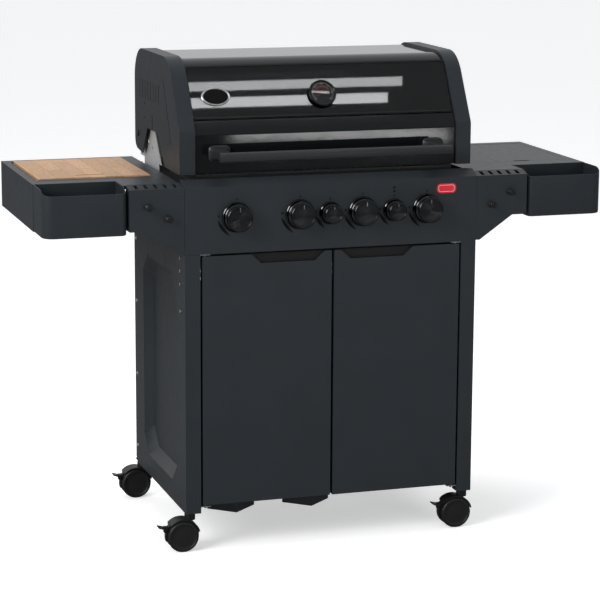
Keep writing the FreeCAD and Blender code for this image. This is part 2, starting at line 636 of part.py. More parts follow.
def hinge_plate(side):
    """Upright galvanised plate on the cookbox bracket that carries the lid's pivot."""
    corners = [(165, 852.05), (165, 895), (188, 895), (126, 969),
               (-20, 969), (-20, 895), (20, 895), (20, 852.05)]
    plate = prism_x([(PIVOT_Y - ahead, z) for ahead, z in corners], PLATE_X, PLATE_X + SHEET)
    plate = plate.cut(rod(PIVOT_R, (PLATE_X - 1, PIVOT_Y, PIVOT_Z), (1, 0, 0), SHEET + 2))
    for ahead, z, r in ((60, 937, 6), (52, 923, 3), (100, 926, 4)):
        plate = plate.cut(rod(r, (PLATE_X - 1, PIVOT_Y - ahead, z), (1, 0, 0), SHEET + 2))
    return on_side(plate, side)


def lid_pin(side):
    """Headed pivot pin through the plate and the cap."""
    shank = rod(PIVOT_R, (PLATE_X - 4, PIVOT_Y, PIVOT_Z), (1, 0, 0), HALF_WIDTH + GAP - PLATE_X + 4)
    head = rod(8.0, (HALF_WIDTH + GAP, PIVOT_Y, PIVOT_Z), (1, 0, 0), 3)
    reach = HALF_WIDTH - SHEET - GAP - PLATE_X - SHEET
    collar = rod(7.0, (PLATE_X + SHEET, PIVOT_Y, PIVOT_Z), (1, 0, 0), reach)
    return on_side(fused([shank, head, collar]), side)


def lid_handle():
    """Round bar on two feet that stand on the front of the lid."""
    bar = rod(HANDLE_R, (-HANDLE_HALF, HANDLE_Y, HANDLE_Z), (1, 0, 0), 2 * HANDLE_HALF)
    foot_y = LID_FRONT + SHELL_INSET - 0.05
    pieces = [bar]
    for side in (-1, 1):
        centre = HANDLE_HALF - 21.0
        foot = box(centre - 26, centre + 26, foot_y - 5, foot_y, HANDLE_Z - 19, HANDLE_Z + 19)
        root = foot_y - 4
        arm = hull_between([V(centre - 20, root, HANDLE_Z - 15), V(centre + 20, root, HANDLE_Z - 15),
                            V(centre + 20, root, HANDLE_Z + 15), V(centre - 20, root, HANDLE_Z + 15)],
                           [V(centre - 14, HANDLE_Y, HANDLE_Z - 9), V(centre + 14, HANDLE_Y, HANDLE_Z - 9),
                            V(centre + 14, HANDLE_Y, HANDLE_Z + 9), V(centre - 14, HANDLE_Y, HANDLE_Z + 9)])
        pieces += [on_side(foot, side), on_side(arm, side)]
    return fused(pieces)


# ---- shelves -----------------------------------------------------------
SHELF_IN = HALF_WIDTH + GAP


def shelf(side, well_depth, pin_bores):
    """Shelf sheet with flanges and a sunk well for the board or the side burner."""
    t = SHEET
    y_front = BEVEL_Y + GAP
    split = BIN_IN - 1
    outline = [(SHELF_IN, y_front), (split, y_front), (split, BIN_BACK + GAP), (SHELF_OUT, BIN_BACK + GAP),
               (SHELF_OUT, SHELF_BACK), (SHELF_IN, SHELF_BACK)]
    top = prism_z(outline, SHELF_TOP - t, SHELF_TOP)
    outer = box(SHELF_OUT - t, SHELF_OUT, BIN_BACK + GAP, SHELF_BACK, SHELF_SIDE_LOW, SHELF_TOP)
    rear = box(SHELF_IN, SHELF_OUT, SHELF_BACK - t, SHELF_BACK, 800, SHELF_TOP)
    inner = box(SHELF_IN, SHELF_IN + t, y_front, SHELF_BACK, 782, SHELF_TOP)
    low = SHELF_TOP - well_depth
    well = box(WELL_IN - t, WELL_OUT + t, WELL_FRONT - t, WELL_BACK + t, low - t, SHELF_TOP)
    body = fused([top, outer, rear, inner, well])
    body = body.cut(box(WELL_IN, WELL_OUT, WELL_FRONT, WELL_BACK, low, SHELF_TOP + 1))
    if pin_bores:
        body = body.cut(rod(COVER_PIN_R, (WELL_IN - t - 1, COVER_PIN_Y, COVER_PIN_Z), (1, 0, 0), t + 2))
        body = body.cut(rod(COVER_PIN_R, (WELL_OUT - 1, COVER_PIN_Y, COVER_PIN_Z), (1, 0, 0), t + 2))
    return on_side(body.removeSplitter(), side)


def shelf_bin(side):
    """Open bin at the front of a shelf, with a rounded outline and a rim that falls to the front."""
    z0, z1 = BIN_LOW, SHELF_TOP

    def outline(inset):
        return [(BIN_IN + inset, inset + 10), (BIN_IN + 3 + inset, inset + 3), (BIN_IN + 10 + inset, inset),
                (BIN_FRONT_OUT - 12 - inset, inset), (BIN_FRONT_OUT - 4 - inset, inset + 3),
                (BIN_FRONT_OUT + 0.5 - inset, inset + 11), (BIN_OUT - inset, BIN_BACK - inset),
                (BIN_IN + inset, BIN_BACK - inset)]

    shell = prism_z(outline(0), z0, z1).cut(prism_z(outline(SHEET), z0 + SHEET, z1 + 1))
    outline = [(-1, BIN_LIP), (12, BIN_LIP), (BIN_BACK - 8, SHELF_TOP + 1), (-1, SHELF_TOP + 1)]
    falling = prism_x(outline, BIN_IN - 20, SHELF_OUT + 20)
    return on_side(shell.cut(falling), side)


def shelf_bracket(side):
    """Front corner plate under a shelf, flush with the control panel, with vents and two pegs."""
    t = SHEET
    x0, x1 = SHELF_IN, BRACKET_OUT
    outline = [(x0, PANEL_BOTTOM + 2), (x0 + 10, PANEL_BOTTOM + 2), (x1 - 37, BRACKET_LOW), (x1, BRACKET_LOW),
               (x1, PANEL_TOP), (x0, PANEL_TOP)]
    face = prism_y(outline, 0, t)
    bevel = prism_x([(0, PANEL_TOP - t), (0, PANEL_TOP), (BEVEL_Y, BEVEL_Z), (BEVEL_Y, BEVEL_Z - t)], x0, x1)
    inner = prism_x([(0, PANEL_BOTTOM + 2), (0, PANEL_TOP), (BEVEL_Y, BEVEL_Z), (BEVEL_Y, PANEL_BOTTOM + 2)],
                    x0, x0 + t)
    outer = prism_x([(0, BRACKET_LOW), (0, PANEL_TOP), (BEVEL_Y, BEVEL_Z), (BEVEL_Y, BRACKET_LOW)],
                    x1 - t, x1)
    plate = fused([face, bevel, inner, outer])
    for i in range(5):
        x = x0 + 14.7 + i * 23.0
        vent = [(x, 6), (x + 8, 6), (x + 8, BEVEL_Y - 6), (x, BEVEL_Y - 6)]
        plate = plate.cut(prism_z(vent, PANEL_TOP - 3, BEVEL_Z + 3))
    pegs = []
    for along, z in ((87, 837), (39, 808)):
        x = HALF_WIDTH + along
        pegs.append(rod(3.5, (x, t, z), (0, -1, 0), t + 8))
        pegs.append(rod(5.0, (x, -8, z), (0, -1, 0), 3))
    return on_side(fused([plate] + pegs), side)


def cutting_board():
    """Wooden board in the left shelf, with a finger slot."""
    g = 1.0
    low = SHELF_TOP - BOARD_THICK + GAP
    board = box(WELL_IN + g, WELL_OUT - 6, WELL_FRONT + g, WELL_BACK - g, low, SHELF_TOP + 3)
    x0, x1, y, r = WELL_IN + 107, WELL_IN + 170, WELL_FRONT + 40, 5.0
    slot = box(x0, x1, y - r, y + r, low - 1, SHELF_TOP + 5)
    ends = [rod(r, (x, y, low - 1), (0, 0, 1), BOARD_THICK + 10) for x in (x0, x1)]
    return mirrored(board.cut([slot] + ends))


def side_burner_cover():
    """Flush lid of the side burner: sheet with flanges on three sides and two pivot holes."""
    g = 1.0
    x0, x1, y0, y1 = WELL_IN + g, WELL_OUT - g, WELL_FRONT + g, WELL_BACK - 3
    low = SHELF_TOP - COVER_FLANGE
    cover = box(x0, x1, y0, y1, low, SHELF_TOP)
    cover = cover.cut(box(x0 + SHEET, x1 - SHEET, y0 + SHEET, y1 + 1, low - 1, SHELF_TOP - SHEET))
    cover = cover.cut(box(WELL_IN + 133, WELL_IN + 175, y0 - 1, y0 + 9, low - 1, SHELF_TOP + 1))
    cover = cover.cut(rod(COVER_PIN_R + RUN, (x0 - 1, COVER_PIN_Y, COVER_PIN_Z), (1, 0, 0), x1 - x0 + 2))
    return cover.removeSplitter()


def cover_pins():
    """Two pins from the well's walls into the cover."""
    length = SHEET + 6.0
    return [rod(COVER_PIN_R, (WELL_IN - SHEET, COVER_PIN_Y, COVER_PIN_Z), (1, 0, 0), length),
            rod(COVER_PIN_R, (WELL_OUT + SHEET - length, COVER_PIN_Y, COVER_PIN_Z), (1, 0, 0), length)]


def side_burner():
    """Burner head on its mixing cup, and a pan support over it."""
    x, y = (WELL_IN + WELL_OUT) / 2, (WELL_FRONT + WELL_BACK) / 2 - 10
    floor = SHELF_TOP - BURNER_WELL + 0.05
    cup = rod(30, (x, y, floor), (0, 0, 1), 12)
    head = Part.makeCone(34, 46, 12, V(x, y, floor + 12))
    crown = rod(46, (x, y, floor + 24), (0, 0, 1), 8)
    burner_head = fused([cup, head, crown])
    z = floor + 46
    ring = rod(92, (x, y, z), (0, 0, 1), 5).cut(rod(86, (x, y, z - 1), (0, 0, 1), 7))
    bars = []
    for i in range(4):
        bar = box(x + 34, x + 112, y - 2.5, y + 2.5, z, z + 8)
        leg = box(x + 104, x + 112, y - 2.5, y + 2.5, floor, z + 1)
        arm = bar.fuse(leg)
        arm.rotate(V(x, y, 0), V(0, 0, 1), 45 + 90 * i)
        bars.append(arm)
    return burner_head, fused([ring] + bars)


# ---- grease tray -------------------------------------------------------
TRAY_HALF, TRAY_FRONT, TRAY_BACK, TRAY_LOW, TRAY_HIGH = 170.0, 56.0, BOX_BACK - 15, 704.5, 728.0


def tray_runner(side):
    """Angle on the cross rails that the grease tray slides on."""
    x1 = TRAY_HALF + GAP + SHEET
    return on_side(fused([box(x1 - 24, x1, 34, CART_DEPTH - 14, 702.05, 702.05 + SHEET),
                          box(x1 - SHEET, x1, 34, CART_DEPTH - 14, 702.05, 722)]), side)


def grease_tray():
    """Long drip tray with a lip to pull it by at the back."""
    t = 1.5
    tray = box(-TRAY_HALF, TRAY_HALF, TRAY_FRONT, TRAY_BACK, TRAY_LOW, TRAY_HIGH)
    tray = tray.cut(box(-TRAY_HALF + t, TRAY_HALF - t, TRAY_FRONT + t, TRAY_BACK - t,
                        TRAY_LOW + t, TRAY_HIGH + 1))
    lip = box(-60, 60, TRAY_BACK, TRAY_BACK + 30, TRAY_HIGH - 3, TRAY_HIGH - 1)
    return fused([tray, lip])


def grease_cup():
    """Tapered foil cup that stands in the tray."""
    z0, z1 = TRAY_LOW + 1.5 + GAP, TRAY_HIGH - 2
    y0, y1 = FUNNEL_FRONT + 20, FUNNEL_BACK - 20
    outer = hull_between(box_ring(55, y0, y1, z0), box_ring(62, y0 - 7, y1 + 7, z1))
    inner = hull_between(box_ring(53.5, y0 + 1.5, y1 - 1.5, z0 + 1),
                         box_ring(60.8, y0 - 5.8, y1 + 5.8, z1 + 0.01))
    return outer.cut(inner)


# ---- casters -----------------------------------------------------------
def caster_places():
    """Number and stem position of each caster: front left, front right, back left, back right."""
    spots = [(-CASTER_X, CASTER_FRONT), (CASTER_X, CASTER_FRONT),
             (-CASTER_X, CASTER_BACK), (CASTER_X, CASTER_BACK)]
    return [(i + 1, x, y) for i, (x, y) in enumerate(spots)]


def caster_stem(x, y):
    """Threaded stem with its flange under the rail."""
    top = CART_BOTTOM + SHEET * 2
    shaft = rod(STEM_R, (x, y, 68), (0, 0, 1), top - 68)
    flange = rod(11, (x, y, CART_BOTTOM - 3.5), (0, 0, 1), 3.5)
    return fused([shaft, flange])


def caster_housing(x, y):
    """Swivel housing: neck, web between the wheels and hood over them."""
    cx = x - TRAIL
    centre = (cx, y - WEB_HALF, WHEEL_R)
    web = rod(41, centre, (0, 1, 0), 2 * WEB_HALF)
    web = web.cut(box(cx - 60, cx + 60, y - 10, y + 10, -10, WHEEL_R - 12))
    hood = rod(42.5, (cx, y - 19, WHEEL_R), (0, 1, 0), 38).cut(rod(39, (cx, y - 20, WHEEL_R), (0, 1, 0), 40))
    hood = hood.common(box(cx - 30, cx + 45, y - 20, y + 20, WHEEL_R + 10, WHEEL_R + 60))
    neck = rod(13, (x, y, WHEEL_R + 38), (0, 0, 1), CART_BOTTOM - 4 - WHEEL_R - 38)
    neck = neck.cut(rod(39, (cx, y - 20, WHEEL_R), (0, 1, 0), 40))
    lug = box(cx - 44, cx - 34, y - WEB_HALF, y + WEB_HALF, WHEEL_R + 10, WHEEL_R + 24)
    body = fused([web, hood, neck, lug])
    body = body.cut(rod(STEM_R + RUN, (x, y, 67), (0, 0, 1), 40))
    body = body.cut(rod(STEM_R + RUN, (cx, y - 10, WHEEL_R), (0, 1, 0), 20))
    return body.cut(rod(2.0 + RUN, (cx - 40, y - 10, WHEEL_R + 17), (0, 1, 0), 20))


def caster_wheel(x, y):
    """Twin wheel: two rounded discs on one axle."""
    cx = x - TRAIL
    r, a, b = WHEEL_R, WEB_HALF + 0.5, CASTER_HALF
    profile = [(0, 0), (STEM_R, 0), (STEM_R, a), (r - 1.5, a), (r, a + 1.5), (r, b - 4), (r - 1.2, b - 1.2),
               (r - 4, b), (r - 7, b), (r - 8.5, b - 1.5), (11, b - 1.5), (9.5, b), (0, b)]
    half = flat([V(cx + u, y + v, WHEEL_R) for u, v in profile]).revolve(V(cx, y, WHEEL_R), V(0, 1, 0), 360)
    other = half.mirror(V(cx, y, WHEEL_R), V(0, 1, 0))
    return half.fuse(other).removeSplitter()


def caster_pedal(x, y):
    """Foot brake on the trailing side, on its own cross pin."""
    cx = x - TRAIL
    z = WHEEL_R + 17
    pin = rod(2.0, (cx - 40, y - 9, z), (0, 1, 0), 18)
    root = [V(cx - 45, y - 9, z + 2), V(cx - 45, y + 9, z + 2),
            V(cx - 45, y + 9, z + 6), V(cx - 45, y - 9, z + 6)]
    tip = [V(cx - 58, y - 11, z + 6), V(cx - 58, y + 11, z + 6),
           V(cx - 58, y + 11, z + 9), V(cx - 58, y - 11, z + 9)]
    plate = hull_between(root, tip)
    cheeks = [box(cx - 47, cx - 38, y0, y0 + 2, z - 2.5, z + 6) for y0 in (y - 9, y + 7)]
    return fused([pin, plate] + cheeks)


# ---- all nodes ---------------------------------------------------------
def build():
    """Write every node of the grill."""
    os.makedirs("parts", exist_ok=True)
    for name, side in (("left", -1), ("right", 1)):
        save(f"side_panel_{name}", side_panel(side))
        save(f"door_{name}", door(side))
        save(f"shelf_bin_{name}", shelf_bin(side))
        save(f"lid_cap_{name}", lid_cap(side))
    save("base_rails", base_rail(-1), base_rail(1))
    save("shelf_brackets", shelf_bracket(-1), shelf_bracket(1))
    save("floor_pan", floor_pan(), floor_wedge(-221.0), floor_wedge(-30.0))
    save("tray_rails", *cross_rails(), tray_runner(-1), tray_runner(1))
    save("back_panel", back_panel())
    save("cabinet_fittings", *door_fittings(), *side_screws())
    save("control_panel", control_panel())
    knobs = [(x, BIG_R) for x in BIG_KNOBS] + [(x, SMALL_R) for x in SMALL_KNOBS]
    save("knob_bezels", *[bezel(x, r) for x, r in knobs])
    for i, (x, r) in enumerate(knobs):
        save(f"knob_{i + 1}", knob(x, r))
        save(f"valve_stem_{i + 1}", valve_stem(x))
    save("gas_manifold", gas_manifold())
    save("firebox", firebox())
    save("firebox_brackets", firebox_bracket(-1), firebox_bracket(1))
    save("burners", *[burner(x) for x in BIG_KNOBS])
    save("heat_tents", *[heat_tent(x) for x in BIG_KNOBS])
    save("cooking_grates", *[cooking_grate(x) for x in (-GRATE_PITCH, 0.0, GRATE_PITCH)])
    save("warming_rack", warming_rack())
    save("hinge_plates", hinge_plate(-1), hinge_plate(1))
    save("hinge_pins", lid_pin(-1), lid_pin(1), *cover_pins())
    save("lid_shell", lid_shell())
    save("lid_window", lid_window())
    save("lid_handle", lid_handle())
    save("thermometer", thermometer())
    save("shelf_left", shelf(-1, BOARD_THICK, False))
    save("shelf_right", shelf(1, BURNER_WELL, True))
    save("cutting_board", cutting_board())
    save("side_burner_cover", side_burner_cover())
    save("side_burner", *side_burner())
    save("grease_tray", grease_tray(), grease_cup())
    save("caster_stems", *[caster_stem(x, y) for _, x, y in caster_places()])
    for i, x, y in caster_places():
        save(f"caster_housing_{i}", caster_housing(x, y))
        save(f"caster_wheel_{i}", caster_wheel(x, y))
        save(f"caster_pedal_{i}", caster_pedal(x, y))


build()
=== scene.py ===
"""Visible pieces of a gas barbecue grill around its frame: coated sheet, enamel, glass, wood and casters."""
import json
import math

import bmesh
import bpy
from bpy.props import FloatProperty, FloatVectorProperty, IntProperty, PointerProperty
from mathutils import Matrix, Vector

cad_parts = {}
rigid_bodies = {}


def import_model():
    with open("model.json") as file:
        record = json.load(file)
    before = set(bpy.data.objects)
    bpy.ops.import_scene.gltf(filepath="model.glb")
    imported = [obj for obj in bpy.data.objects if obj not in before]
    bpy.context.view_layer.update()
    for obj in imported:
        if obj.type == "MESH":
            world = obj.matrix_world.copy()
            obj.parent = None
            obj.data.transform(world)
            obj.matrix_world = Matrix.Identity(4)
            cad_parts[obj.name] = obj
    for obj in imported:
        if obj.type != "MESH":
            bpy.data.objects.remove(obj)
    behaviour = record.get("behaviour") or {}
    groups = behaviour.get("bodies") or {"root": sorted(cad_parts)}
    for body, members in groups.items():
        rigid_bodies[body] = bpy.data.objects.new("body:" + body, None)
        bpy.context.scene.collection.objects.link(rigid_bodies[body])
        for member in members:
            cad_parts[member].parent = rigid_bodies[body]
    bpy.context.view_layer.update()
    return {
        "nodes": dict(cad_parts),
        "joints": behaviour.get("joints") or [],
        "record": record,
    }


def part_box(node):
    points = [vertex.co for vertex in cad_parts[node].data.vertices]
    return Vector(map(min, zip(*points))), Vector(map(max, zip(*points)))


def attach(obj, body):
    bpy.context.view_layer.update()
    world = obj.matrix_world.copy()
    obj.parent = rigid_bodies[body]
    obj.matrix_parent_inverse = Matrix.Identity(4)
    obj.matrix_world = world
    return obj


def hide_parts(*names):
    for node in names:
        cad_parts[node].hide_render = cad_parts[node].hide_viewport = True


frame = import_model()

bl_info = {
    "name": "Gas Barbecue Grill",
    "version": (1, 0, 0),
    "blender": (4, 5, 0),
    "location": "3D View > Sidebar > Grill",
    "description": "Builds the visible pieces of a gas barbecue grill around its frame",
    "category": "Object",
}

NODES = frame["nodes"]
BODY_OF = {node: body for body, nodes in frame["record"]["behaviour"]["bodies"].items() for node in nodes}
SLOT_OF = {part["node"]: part["material_slot"] for part in frame["record"]["subparts"]}
JOINT = {joint["name"]: joint for joint in frame["joints"]}

# Lengths and places are in metres.
ORIGIN = Vector((0, 0, 0))
SIDES = ((-1, "left"), (1, "right"))
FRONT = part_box("door_left")[0].y              # front face of the doors and of the control panel
PANEL_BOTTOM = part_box("control_panel")[0].z
PANEL_SHARE, RAIL_SHARE = 0.8, 0.6            # shares of the sheet edge's rounding
BIN_CORNERS = (0.027, 0.013)                  # radii of a bin's outer and inner front corners
BIN_HEIGHT, BIN_LIP_DROP = 0.1115, 0.013      # from the rim down to the foot and to the front lip
BIN_ROLL_LENGTH = 0.040                       # length over which the rim rolls down to the lip
SIDE_SCREWS_Z = (0.14, 0.33, 0.52, 0.68)
BACK_SCREWS_X, BACK_SCREWS_Z = 0.345, (0.16, 0.4, 0.66)
PEG_PLACES = ((0.450, 0.837), (0.402, 0.808))  # x and z on the right bracket
GAUGE_Z = 1.075
BADGE_X, BADGE_Z = -0.262, 1.076
KNOB_NAMES = [f"knob_{i}" for i in range(1, 7)]
BEZEL_MARGIN = 0.0035                         # from a knob's rim to its bezel's rim
LABEL_X, LABEL_Z = 0.285, 0.8515
STRIP_DISTANCE = 3.0                          # from the lid to the lights that it mirrors
FLOOR_REACH = 70.0


# ---- settings ----------------------------------------------------------
class GrillSizes(bpy.types.PropertyGroup):
    """Sizes, in metres, and counts that a user would change."""
    sheet_edge: FloatProperty(
        name="Sheet edge", description="Rounding of folded sheet edges", default=0.0012, subtype="DISTANCE")
    casting_edge: FloatProperty(
        name="Casting edge", description="Rounding of cast edges", default=0.0009, subtype="DISTANCE")
    board_edge: FloatProperty(
        name="Board edge", description="Rounding of the wooden board", default=0.0025, subtype="DISTANCE")
    stave_width: FloatProperty(
        name="Stave width", description="Width of one stave of the board", default=0.039, subtype="DISTANCE")
    lean: FloatProperty(
        name="Lid lean", description="Depth gained per height on the lid's front", default=0.6,
        subtype="FACTOR")
    tread_ribs: IntProperty(name="Tread ribs", description="Ribs round a caster's tread", default=72)
    gauge_marks: IntProperty(name="Gauge marks", description="Marks round the thermometer's dial", default=25)
    port_pitch: FloatProperty(
        name="Port pitch", description="Distance between burner ports", default=0.011, subtype="DISTANCE")


class GrillColours(bpy.types.PropertyGroup):
    """Colours of the main finishes."""
    powder: FloatVectorProperty(
        name="Powder coat", description="Anthracite coat of the sheet parts", size=3, subtype="COLOR",
        default=(0.0180, 0.0218, 0.0255))
    enamel: FloatVectorProperty(
        name="Enamel", description="Gloss enamel of the lid", size=3, subtype="COLOR",
        default=(0.0040, 0.0045, 0.0050))
    wood: FloatVectorProperty(
        name="Wood", description="Oiled beech of the board", size=3, subtype="COLOR",
        default=(0.46, 0.28, 0.155))
    label: FloatVectorProperty(
        name="Label", description="Plain label on the control panel", size=3, subtype="COLOR",
        default=(0.55, 0.02, 0.035))


# ---- materials ---------------------------------------------------------
def material(name, colour, roughness, metallic=0.0, **sockets):
    """A new material and its shader, whose other sockets are set by name."""
    made = bpy.data.materials.new(name)
    made.use_nodes = True
    shader = made.node_tree.nodes["Principled BSDF"]
    shader.inputs["Base Color"].default_value = (*colour, 1)
    shader.inputs["Roughness"].default_value = roughness
    shader.inputs["Metallic"].default_value = metallic
    for socket, value in sockets.items():
        shader.inputs[socket.replace("_", " ")].default_value = value
    return made, shader


def node(made, kind, **values):
    """A node in a material; values set its properties, or its inputs where the name is one."""
    new = made.node_tree.nodes.new(kind)
    for key, value in values.items():
        if key in new.inputs:
            new.inputs[key].default_value = value
        else:
            setattr(new, key, value)
    return new


def link(made, start, end):
    made.node_tree.links.new(start, end)


def spread(made, source, low, high):
    """Map 0..1 to low..high."""
    mapped = node(made, "ShaderNodeMapRange")
    mapped.inputs["To Min"].default_value = low
    mapped.inputs["To Max"].default_value = high
    link(made, source, mapped.inputs["Value"])
    return mapped.outputs["Result"]


def noise(made, scale, detail=3.0, stretch=None):
    """Noise on Object coordinates."""
    coords = node(made, "ShaderNodeTexCoord")
    texture = node(made, "ShaderNodeTexNoise", Scale=scale, Detail=detail)
    source = coords.outputs["Object"]
    if stretch:
        turned = node(made, "ShaderNodeMapping")
        turned.inputs["Scale"].default_value = stretch
        link(made, source, turned.inputs["Vector"])
        source = turned.outputs["Vector"]
    link(made, source, texture.inputs["Vector"])
    return texture.outputs["Fac"]


def tint(made, shader, factor, dark, light):
    """Base colour between two colours by a factor."""
    mix = node(made, "ShaderNodeMix", data_type="RGBA")
    for socket, value in ((6, dark), (7, light)):
        mix.inputs[socket].default_value = (*value, 1)
    link(made, factor, mix.inputs["Factor"])
    link(made, mix.outputs[2], shader.inputs["Base Color"])


def relief(made, shader, height, strength, distance):
    bump = node(made, "ShaderNodeBump", Strength=strength, Distance=distance)
    link(made, height, bump.inputs["Height"])
    link(made, bump.outputs["Normal"], shader.inputs["Normal"])


def scaled(colour, factor):
    return tuple(channel * factor for channel in colour)


def powder_coat():
    """Fine-textured satin powder coat: grain, faint clouding and uneven sheen."""
    colour = bpy.context.scene.grill_colours.powder
    made, shader = material("anthracite_powder_coat", colour, 0.46, Specular_IOR_Level=0.24)
    tint(made, shader, noise(made, 9.0, 4.0), scaled(colour, 0.90), scaled(colour, 1.12))
    link(made, spread(made, noise(made, 60.0, 4.0), 0.33, 0.47), shader.inputs["Roughness"])
    relief(made, shader, noise(made, 1500.0, 2.0), 0.22, 0.0003)
    return made


def coated(name, colour, roughness, metallic=0.0, uneven=None, grain=None, **sockets):
    """A finish with uneven roughness (scale, low, high) and grain (scale, detail, strength, distance)."""
    made, shader = material(name, colour, roughness, metallic, **sockets)
    if uneven:
        scale, low, high = uneven
        link(made, spread(made, noise(made, scale), low, high), shader.inputs["Roughness"])
    if grain:
        scale, detail, strength, distance = grain
        relief(made, shader, noise(made, scale, detail), strength, distance)
    return made


def satin_paint(name, level):
    return coated(name, (level, level * 1.05, level * 1.1), 0.33, uneven=(80.0, 0.27, 0.40),
                  grain=(900.0, 3.0, 0.08, 0.0002))


def black_plastic(name, level, roughness):
    return coated(name, (level, level, level * 1.08), roughness,
                  uneven=(200.0, roughness - 0.08, roughness + 0.1), grain=(1300.0, 3.0, 0.16, 0.0002),
                  Specular_IOR_Level=0.35)


def galvanised():
    """Zinc-coated sheet with spangle."""
    made, shader = material("galvanised_sheet", (0.52, 0.53, 0.54), 0.42, metallic=0.55)
    coords = node(made, "ShaderNodeTexCoord")
    cells = node(made, "ShaderNodeTexVoronoi", Scale=170.0)
    link(made, coords.outputs["Object"], cells.inputs["Vector"])
    link(made, spread(made, cells.outputs["Distance"], 0.30, 0.55), shader.inputs["Roughness"])
    tint(made, shader, cells.outputs["Distance"], (0.58, 0.60, 0.61), (0.46, 0.48, 0.49))
    return made


def brushed(name, colour, stretch, roughness=0.3):
    """Drawn or brushed metal with fine lines."""
    made, shader = material(name, colour, roughness, metallic=1.0)
    lines = noise(made, 60.0, 5.0, stretch)
    link(made, spread(made, lines, roughness - 0.1, roughness + 0.14), shader.inputs["Roughness"])
    relief(made, shader, lines, 0.12, 0.0002)
    return made


def heat_tinted():
    """Stainless burner tube and tents, straw and blue near the flames."""
    made, shader = material("heat_tinted_steel", (0.5, 0.47, 0.42), 0.36, metallic=1.0)
    tint(made, shader, noise(made, 12.0, 3.0), (0.40, 0.33, 0.24), (0.56, 0.56, 0.58))
    relief(made, shader, noise(made, 400.0), 0.15, 0.0002)
    return made


def spun_metal():
    """Turned face of a knob: anisotropic along the turning marks, which follow the polar UV map."""
    made, shader = material("spun_dark_metal", (0.048, 0.051, 0.055), 0.26, metallic=1.0, Anisotropic=0.9,
                            Anisotropic_Rotation=0.25)
    tangent = node(made, "ShaderNodeTangent", direction_type="UV_MAP", uv_map="polar")
    link(made, tangent.outputs["Tangent"], shader.inputs["Tangent"])
    coords = node(made, "ShaderNodeUVMap", uv_map="polar")
    rings = node(made, "ShaderNodeTexWave", bands_direction="Y", Scale=300.0, Distortion=0.0)
    link(made, coords.outputs["UV"], rings.inputs["Vector"])
    relief(made, shader, rings.outputs["Fac"], 0.06, 0.0001)
    return made


def plain_print(name, colour, roughness=0.4):
    """Printed or painted mark with a little wear."""
    made, shader = material(name, colour, roughness, Specular_IOR_Level=0.2)
    tint(made, shader, noise(made, 500.0), scaled(colour, 0.85), scaled(colour, 1.12))
    return made


def beech():
    """Oiled staves: each has its own shade, with grain along its length and dark glue lines."""
    sizes = bpy.context.scene.grill_sizes
    colour = bpy.context.scene.grill_colours.wood
    made, shader = material("oiled_beech", colour, 0.48)
    coords = node(made, "ShaderNodeTexCoord")
    turned = node(made, "ShaderNodeMapping")
    turned.inputs["Rotation"].default_value = (0, 0, math.pi / 2)
    link(made, coords.outputs["Object"], turned.inputs["Vector"])
    bricks = node(made, "ShaderNodeTexBrick", offset=0.37)
    bricks.inputs["Scale"].default_value = 1.0
    bricks.inputs["Brick Width"].default_value = 0.19
    bricks.inputs["Row Height"].default_value = sizes.stave_width
    bricks.inputs["Mortar Size"].default_value = 0.0005
    bricks.inputs["Bias"].default_value = -0.1
    bricks.inputs["Color1"].default_value = (*scaled(colour, 0.86), 1)
    bricks.inputs["Color2"].default_value = (*scaled(colour, 1.16), 1)
    bricks.inputs["Mortar"].default_value = (*scaled(colour, 0.42), 1)
    link(made, turned.outputs["Vector"], bricks.inputs["Vector"])
    grain = noise(made, 34.0, 6.0, (14.0, 1.0, 14.0))
    shade = node(made, "ShaderNodeMix", data_type="RGBA", blend_type="MULTIPLY")
    shade.inputs[0].default_value = 1.0
    link(made, bricks.outputs["Color"], shade.inputs[6])
    ramp = node(made, "ShaderNodeValToRGB")
    ramp.color_ramp.elements[0].position = 0.30
    ramp.color_ramp.elements[0].color = (0.74, 0.66, 0.58, 1)
    ramp.color_ramp.elements[1].position = 0.62
    ramp.color_ramp.elements[1].color = (1, 1, 1, 1)
    link(made, grain, ramp.inputs["Fac"])
    link(made, ramp.outputs["Color"], shade.inputs[7])
    link(made, shade.outputs[2], shader.inputs["Base Color"])
    relief(made, shader, grain, 0.12, 0.0004)
    return made


MATERIALS = {}


